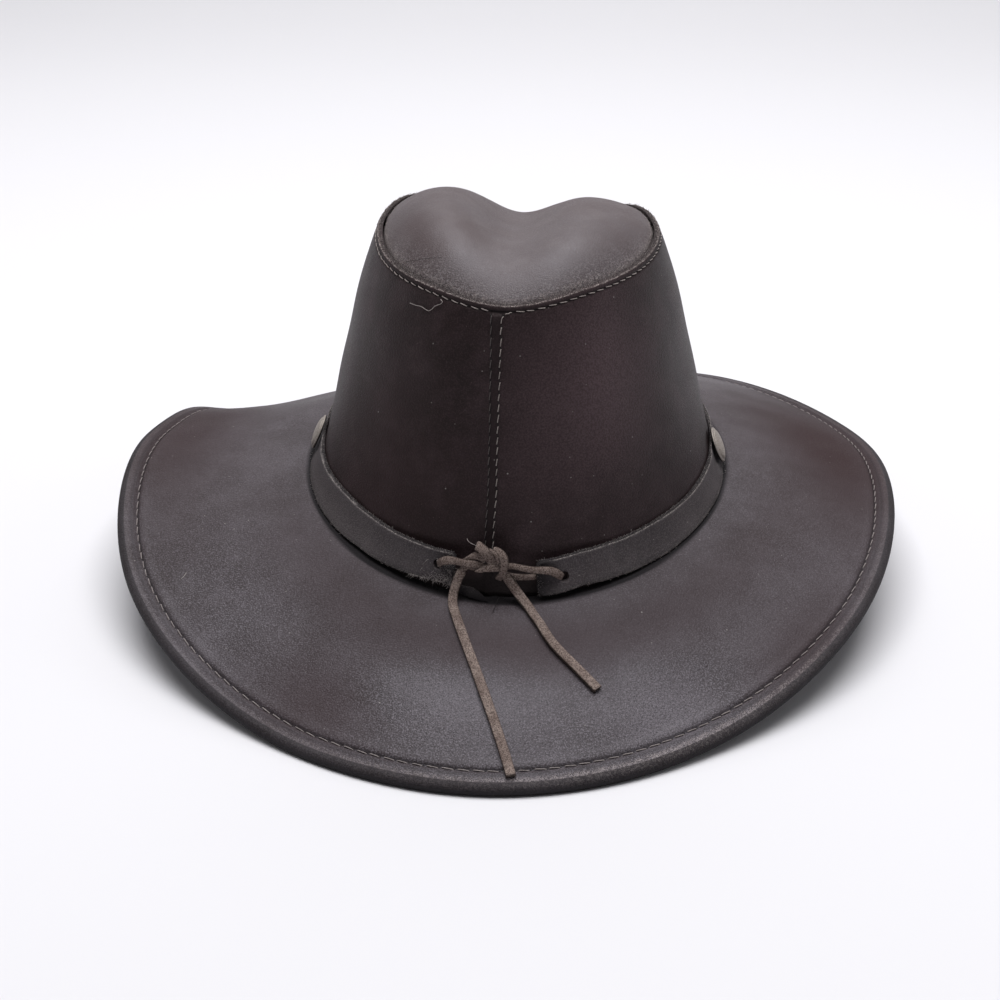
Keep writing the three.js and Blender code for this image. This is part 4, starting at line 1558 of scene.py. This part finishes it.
def top_row():
    """Angles and shares of the sewing under the raw edge, all round between the two corners."""
    near_edge = 1 - TOP_STITCH_BELOW / wall_height(0.0)
    start = float(back_angle(TOP_ROW_START, near_edge))
    end = 360 + float(back_angle(TOP_ROW_END, near_edge))
    around = np.arange(start, end, math.degrees(ROW_SPACING / SEAM_HALF_LENGTH))
    return around, 1 - TOP_STITCH_BELOW / wall_height(around)


def add_crown_sewing(bright, dim, dark):
    """The right row turns the corner and runs on round the top; the left row, sewn in thread painted darker
    as shade, ends below it.
    """
    corner_x, corner_below = columns(SEAM_CORNER, "x", "below")
    corner_share = 1 - corner_below / wall_height(0.0)
    corner = (back_angle(corner_x, corner_share), corner_share)
    rows = zip(row_up("right", corner_below[0] + ROW_SPACING), corner, top_row())
    around, share = (np.concatenate(parts) for parts in rows)
    threads, holes = stitch_row(*wall_line(around, share), BACK_STITCH_PITCH, seed=51)
    add_threads("crown_stitches", threads, bright)
    left_row = wall_line(*row_up("left", TOP_STITCH_BELOW + ROW_SPACING))
    dim_threads, dim_holes = stitch_row(*left_row, BACK_STITCH_PITCH, 52, LEFT_ROW_FILL, LEFT_ROW_RADIUS)
    add_threads("crown_left_stitches_painted_shade", dim_threads, dim)
    add_threads("crown_needle_holes", holes + dim_holes, dark)


def add_brim_sewing(thread, dark):
    around = np.linspace(0, 360, 3600)
    out = round_the_hat(BRIM_ROWS, "reach", around) - BRIM_STITCH_INSET
    normals = normal_of(brim_point, around, out)
    lower = brim_point(around, out)
    lower[:, 2] -= BRIM_SHEET + HEM_THICKNESS
    lower[:, 2] = np.maximum(lower[:, 2], floor_at(lower[:, 1]) + STITCH_RISE + THREAD_RADIUS)
    holes = []
    for name, line, facing, seed in [("brim_stitches", dressed_brim(around, out), normals, 53),
                                     ("brim_under_stitches", lower, -normals, 54)]:
        threads, pricks = stitch_row(line, facing, BRIM_STITCH_PITCH, seed, BRIM_STITCH_FILL,
                                     BRIM_THREAD_RADIUS)
        add_threads(name, threads, thread)
        holes += pricks
    add_threads("brim_needle_holes", holes, dark)


def fibres(row, around, places):
    """Short curved hairs that stand out from the leather at the given places."""
    directions = outward(around) * row["outward"] + np.array([0, 0, row["upward"]])
    draw = np.random.default_rng(row["seed"])
    parts = []
    share = np.linspace(0, 1, FIBRE_POINTS)[:, None]
    for place, direction in zip(places, directions):
        reach = row["length"] * draw.uniform(*FIBRE_LENGTHS)
        way = unit(direction + draw.normal(0, FIBRE_SPREAD, 3))
        bent = np.clip(draw.normal(0, row["curl"], 3), -row["curl"], row["curl"])
        line = place + reach * (way * (share - 0.1) + bent * share * share)
        parts.append(strand(line, row["radius"] * (1.05 - share[:, 0] * 0.8), FIBRE_SIDES))
    return parts


def hair(line, radius):
    return strand(smooth_line(line, HAIR_SPACING), radius, HAIR_SIDES)


def add_loose_ends(light, dark):
    """A thread on the crown, a hair at the knot and a scuff; a dark hair and a scratch."""
    around, share = columns(LOOSE_THREAD, "around", "share")
    hair_line = back_place(*columns(KNOT_HAIR, "x", "out", "up"))
    scuff_line = dressed_brim(*columns(SCUFF, "around", "out"))
    lines = [wall_point(around, share, HAIR_LIFT), hair_line, scuff_line]
    add_threads("loose_thread", [hair(line, HAIR_RADIUS) for line in lines], light)
    around, out, above = columns(BRIM_HAIR, "around", "out", "above")
    hair_line = brim_point(around, out)
    hair_line[:, 2] += above
    scratch_line = top_point(*columns(SCRATCH, "around", "rim"))
    dark_hairs = [hair(hair_line, HAIR_RADIUS), hair(scratch_line, SCRATCH_RADIUS)]
    add_threads("brim_hair", dark_hairs, dark)


def add_fuzz(material):
    """Loose fibres on the raw edges of the crown and the band, and round the band's left end."""
    draw = np.random.default_rng(61)
    rows = {row["where"]: row for row in FUZZ}
    count = {where: row["count"] for where, row in rows.items()}
    around = draw.uniform(0, 360, count["crown_edge"])
    edge = wall_point(around, 1.0, -draw.uniform(0, 0.8, len(around)) * PANEL)
    parts = fibres(rows["crown_edge"], around, edge)
    around = draw.uniform(0, 360, count["top_edge"])
    edge = top_point(around, 1 - np.abs(draw.normal(0, 0.022, len(around))) - 0.004)
    edge[:, 2] -= 0.3
    parts += fibres(rows["top_edge"], around, edge)
    around = draw.uniform(BAND_RIGHT_END, BAND_LEFT_END, count["band_upper"])
    edge = band_point(around, 1.0, draw.uniform(0.1, 1.0, len(around)))
    parts += fibres(rows["band_upper"], around, edge)
    around = draw.uniform(BAND_RIGHT_END, BAND_LEFT_END, count["band_lower"])
    edge = band_point(around, 0.0, draw.uniform(0.8, 2.0, len(around)))
    parts += fibres(rows["band_lower"], around, edge)
    height = np.minimum(draw.exponential(0.22, count["left_end"]), 1)
    around = BAND_LEFT_END - np.minimum(draw.exponential(1.6, count["left_end"]), 9)
    parts += fibres(rows["left_end"], around, band_point(around, height, PANEL))
    around = BAND_LEFT_END - draw.uniform(0, 12, count["left_corner"])
    parts += fibres(rows["left_corner"], around, band_point(around, 0.02, PANEL))
    height = draw.uniform(0, 1, count["right_end"])
    around = BAND_RIGHT_END + draw.exponential(0.5, count["right_end"])
    parts += fibres(rows["right_end"], around, band_point(around, height, PANEL))
    points, polygons = joined(parts)
    return add_piece("edge_fibres", points, polygons, material)


class Shader:
    """A material's node tree, built from the Object coordinates of the row frame."""

    def __init__(self, name):
        self.material = bpy.data.materials.new(name)
        self.material.use_nodes = True
        self.tree = self.material.node_tree
        self.surface = self.tree.nodes["Principled BSDF"]
        self.place = self.node("ShaderNodeTexCoord").outputs["Object"]

    def node(self, kind, inputs=None, **settings):
        made = self.tree.nodes.new(kind)
        for setting, value in settings.items():
            setattr(made, setting, value)
        for socket, value in (inputs or {}).items():
            self.set(made.inputs[socket], value)
        return made

    def set(self, socket, value):
        if isinstance(value, bpy.types.NodeSocket):
            self.tree.links.new(value, socket)
        else:
            socket.default_value = value

    def noise(self, size, detail=3.0, roughness=0.55):
        """Noise between 0 and 1 with features of about the given size in millimetres."""
        inputs = {"Vector": self.place, "Scale": 1000 / size, "Detail": detail, "Roughness": roughness}
        return self.node("ShaderNodeTexNoise", inputs).outputs["Fac"]

    def cells(self, size):
        """Smoothed distance to the nearest of many scattered points, size millimetres apart."""
        made = self.node("ShaderNodeTexVoronoi", {"Vector": self.place, "Scale": 1000 / size},
                         feature="SMOOTH_F1")
        return made.outputs["Distance"]

    def specks(self, size, radius, rarity):
        """Small light specks of uneven strength in some of many cells, size millimetres apart."""
        made = self.node("ShaderNodeTexVoronoi", {"Vector": self.place, "Scale": 1000 / size})
        chance = self.node("ShaderNodeSeparateColor", {"Color": made.outputs["Color"]}).outputs["Red"]
        near = self.ramp(made.outputs["Distance"], radius * 0.6, radius, 1.0, 0.0)
        return self.times(near, self.ramp(chance, rarity, 1.0, 0.0, 0.9))

    def ramp(self, value, low, high, start=0.0, end=1.0):
        """A value spread from low..high to start..end, and held there beyond."""
        made = self.node("ShaderNodeMapRange", {"Value": value, "From Min": low, "From Max": high,
                                                "To Min": start, "To Max": end})
        return made.outputs["Result"]

    def times(self, first, second):
        return self.node("ShaderNodeMath", {0: first, 1: second}, operation="MULTIPLY").outputs["Value"]

    def plus(self, first, second):
        return self.node("ShaderNodeMath", {0: first, 1: second}, operation="ADD").outputs["Value"]

    def mix(self, share, first, second):
        made = self.node("ShaderNodeMix", data_type="RGBA")
        self.set(made.inputs[0], share)
        self.set(made.inputs[6], first)
        self.set(made.inputs[7], second)
        return made.outputs[2]

    def weight(self, name):
        return self.node("ShaderNodeAttribute", attribute_name=name).outputs["Fac"]

    def bump(self, height, strength, distance, normal=None):
        inputs = {"Height": height, "Strength": strength, "Distance": distance * MM}
        if normal is not None:
            inputs["Normal"] = normal
        return self.node("ShaderNodeBump", inputs).outputs["Normal"]

    def finish(self, **inputs):
        for socket, value in inputs.items():
            self.set(self.surface.inputs[socket.replace("_", " ")], value)
        return self.material


def tint(colour):
    """A colour given from 0 to 255 as it looks on a screen."""
    shares = [channel / 255 for channel in colour]
    linear = [share / 12.92 if share <= 0.04045 else ((share + 0.055) / 1.055) ** 2.4 for share in shares]
    return (*linear, 1.0)


def leather(row):
    """Oiled leather: mottled, with a pebbled grain, pale where worn, painted dark as shade in its grooves
    and elsewhere painted with shade and light.
    """
    shader = Shader(row["name"])
    deep, plain, pale, worn_tint = (tint(row[shade]) for shade in ("deep", "plain", "pale", "worn"))
    grain = shader.cells(row["grain"])
    fine = shader.noise(row["grain"] * 0.55, 2)
    sandy = shader.noise(row["grit_size"] * 0.9, 1)
    pits = shader.noise(row["grit_size"] * 0.55, 2)
    gritty = shader.ramp(shader.weight("grit"), 0.0, 1.0, row["grit"], 1.0)
    broken = shader.ramp(shader.noise(WEAR_BREAK, 2), *WEAR_BREAK_RAMP)
    worn = shader.times(shader.weight("worn"), shader.ramp(pits, *WEAR_RAMP))
    colour = shader.mix(shader.ramp(shader.noise(PATCH_SIZE), *PATCH_RAMP), deep, plain)
    # Over the ground: pale clouds, paler patches (painted light), the dark of the grain, pale grit
    # (painted glints where the brim's sheen falls), pits, brown patches (mostly painted shade), wear
    # (partly painted glints on the roll), two sizes of specks and the dark weight: painted shade, with
    # some grime in grooves
    for share, over in [
        (shader.ramp(shader.noise(CLOUD_SIZE, 5, 0.65), *CLOUD_RAMP), pale),
        (shader.weight("painted_light"), pale),
        (shader.ramp(grain, *GRAIN_RAMP), deep),
        (shader.times(shader.ramp(sandy, *GRIT_RAMP), gritty), pale),
        (shader.times(shader.ramp(pits, *PIT_RAMP), gritty), tint(GROOVE_AND_SHADE)),
        (shader.weight("stain_and_shade"), tint(STAIN_AND_SHADE)),
        (shader.times(worn, broken), worn_tint),
        (shader.specks(*LARGE_SPECKS), tint(DUST)),
        (shader.specks(*SMALL_SPECKS), pale),
        (shader.weight("dark"), tint(GROOVE_AND_SHADE)),
    ]:
        colour = shader.mix(share, colour, over)
    folds = shader.bump(shader.noise(FOLD_SIZE, 2, 0.4), *FOLD_BUMP)
    height = shader.plus(shader.times(grain, -0.8), shader.times(fine, 0.6))
    normal = shader.bump(height, 1.0, row["grain"] * GRAIN_DEPTH, folds)
    gloss = shader.ramp(sandy, 0.3, 0.7, row["roughness"] - 0.08, row["roughness"] + 0.1)
    for weight, dulling in DULLED.items():
        gloss = shader.plus(gloss, shader.times(shader.weight(weight), dulling))
    return shader.finish(Base_Color=colour, Roughness=gloss, Normal=normal,
                         Specular_IOR_Level=row["specular"], Specular_Tint=tint(row["gloss"]))


def suede(name):
    """The lace's brown napped leather."""
    shader = Shader(name)
    nap = shader.noise(NAP_SIZE, 3, 0.7)
    patches = shader.ramp(shader.noise(SUEDE_PATCH_SIZE, 4), *MOTTLE_RAMP)
    colour = shader.mix(patches, tint(SUEDE), tint(PALE_SUEDE))
    colour = shader.mix(shader.ramp(nap, *NAP_RAMP), colour, tint(DEEP_SUEDE))
    # Painted shade on the underside, and on the cut edges their darker colour with painted shade
    colour = shader.mix(shader.weight("dark"), colour, tint(SUEDE_EDGE_AND_SHADE))
    normal = shader.bump(nap, *NAP_BUMP)
    return shader.finish(Base_Color=colour, Roughness=0.95, Normal=normal, Specular_IOR_Level=0.15)


def plain_thread(row):
    shader = Shader(row["name"])
    shades = shader.ramp(shader.noise(THREAD_PATCH_SIZE, 2), *THREAD_RAMP)
    mixed = shader.mix(shades, tint(row["colour"]), tint(DEEP_THREAD))
    return shader.finish(Base_Color=mixed, Roughness=0.8, Specular_IOR_Level=0.3)


def brushed_metal(name):
    shader = Shader(name)
    marks = shader.noise(BRUSH_SIZE, 3, 0.7)
    colour = shader.mix(shader.ramp(marks, *MOTTLE_RAMP), tint(METAL), tint(PALE_METAL))
    # Painted shade where the dark weight says: the concho's seat and back
    colour = shader.mix(shader.weight("dark"), colour, tint(GROOVE_AND_SHADE))
    normal = shader.bump(marks, *BRUSH_BUMP)
    return shader.finish(Base_Color=colour, Metallic=0.75, Roughness=0.6, Normal=normal)


def add_stage():
    """A pale floor that curves up into a backdrop behind the hat."""
    line = [(STAGE_FRONT, 0.0)]
    for step in range(CORNER_STEPS + 1):
        angle = math.pi / 2 * step / CORNER_STEPS
        line.append((STAGE_BACK - STAGE_BEND + STAGE_BEND * math.sin(angle),
                     STAGE_BEND - STAGE_BEND * math.cos(angle)))
    line.append((STAGE_BACK, STAGE_TOP))
    points = [(side * STAGE_HALF_WIDTH, y, z) for side in (-1, 1) for y, z in line]
    count = len(line)
    faces = [(step, step + count, step + count + 1, step + 1) for step in range(count - 1)]
    backdrop = new_object("backdrop", points, faces)
    paper = Shader("backdrop").finish(Base_Color=tint(FLOOR), Roughness=0.9, Specular_IOR_Level=0.1)
    backdrop.data.materials.append(paper)
    bpy.context.scene.collection.objects.link(backdrop)


def add_lights():
    for row in LIGHTS:
        data = bpy.data.lights.new(row["name"], "AREA")
        data.shape = "RECTANGLE"
        data.size = row["width"]
        data.size_y = row["depth"]
        data.energy = row["power"]
        lamp = bpy.data.objects.new(row["name"], data)
        lamp.location = (row["x"], row["y"], row["z"])
        aim = Vector(HAT_MIDDLE) - lamp.location
        lamp.rotation_euler = aim.to_track_quat("-Z", "Y").to_euler()
        bpy.context.scene.collection.objects.link(lamp)
    world = bpy.data.worlds.new("studio")
    world.use_nodes = True
    background = world.node_tree.nodes["Background"]
    background.inputs["Color"].default_value = tint(SKY)
    background.inputs["Strength"].default_value = SKY_STRENGTH
    bpy.context.scene.world = world


bpy.context.scene.view_settings.view_transform = "Standard"

add_camera()
lace_suede = suede("lace_suede")
add_tail("left_lace_end", "lace_tail_left", LEFT_TAIL, lace_suede)
add_tail("right_lace_end", "lace_tail_right", RIGHT_TAIL, lace_suede)

leathers = [leather({**shades, **finish}) for shades, finish in zip(LEATHERS, FINISHES)]
brim_leather, crown_leather, top_leather, band_leather = leathers
concho_metal = brushed_metal("concho_metal")
add_brim(brim_leather)
add_crown_side(crown_leather)
add_crown_top(top_leather)
add_band(band_leather)
add_concho("concho_right", CONCHO_AROUND, concho_metal)
add_concho("concho_left", 360 - CONCHO_AROUND, concho_metal)
add_knot(lace_suede)
add_flap(band_leather)
bright_thread, brim_thread, dim_thread, needle_hole, fibre = (plain_thread(row) for row in THREADS)
add_crown_sewing(bright_thread, dim_thread, needle_hole)
add_brim_sewing(brim_thread, needle_hole)
add_loose_ends(fibre, needle_hole)
add_fuzz(fibre)
add_stage()
add_lights()
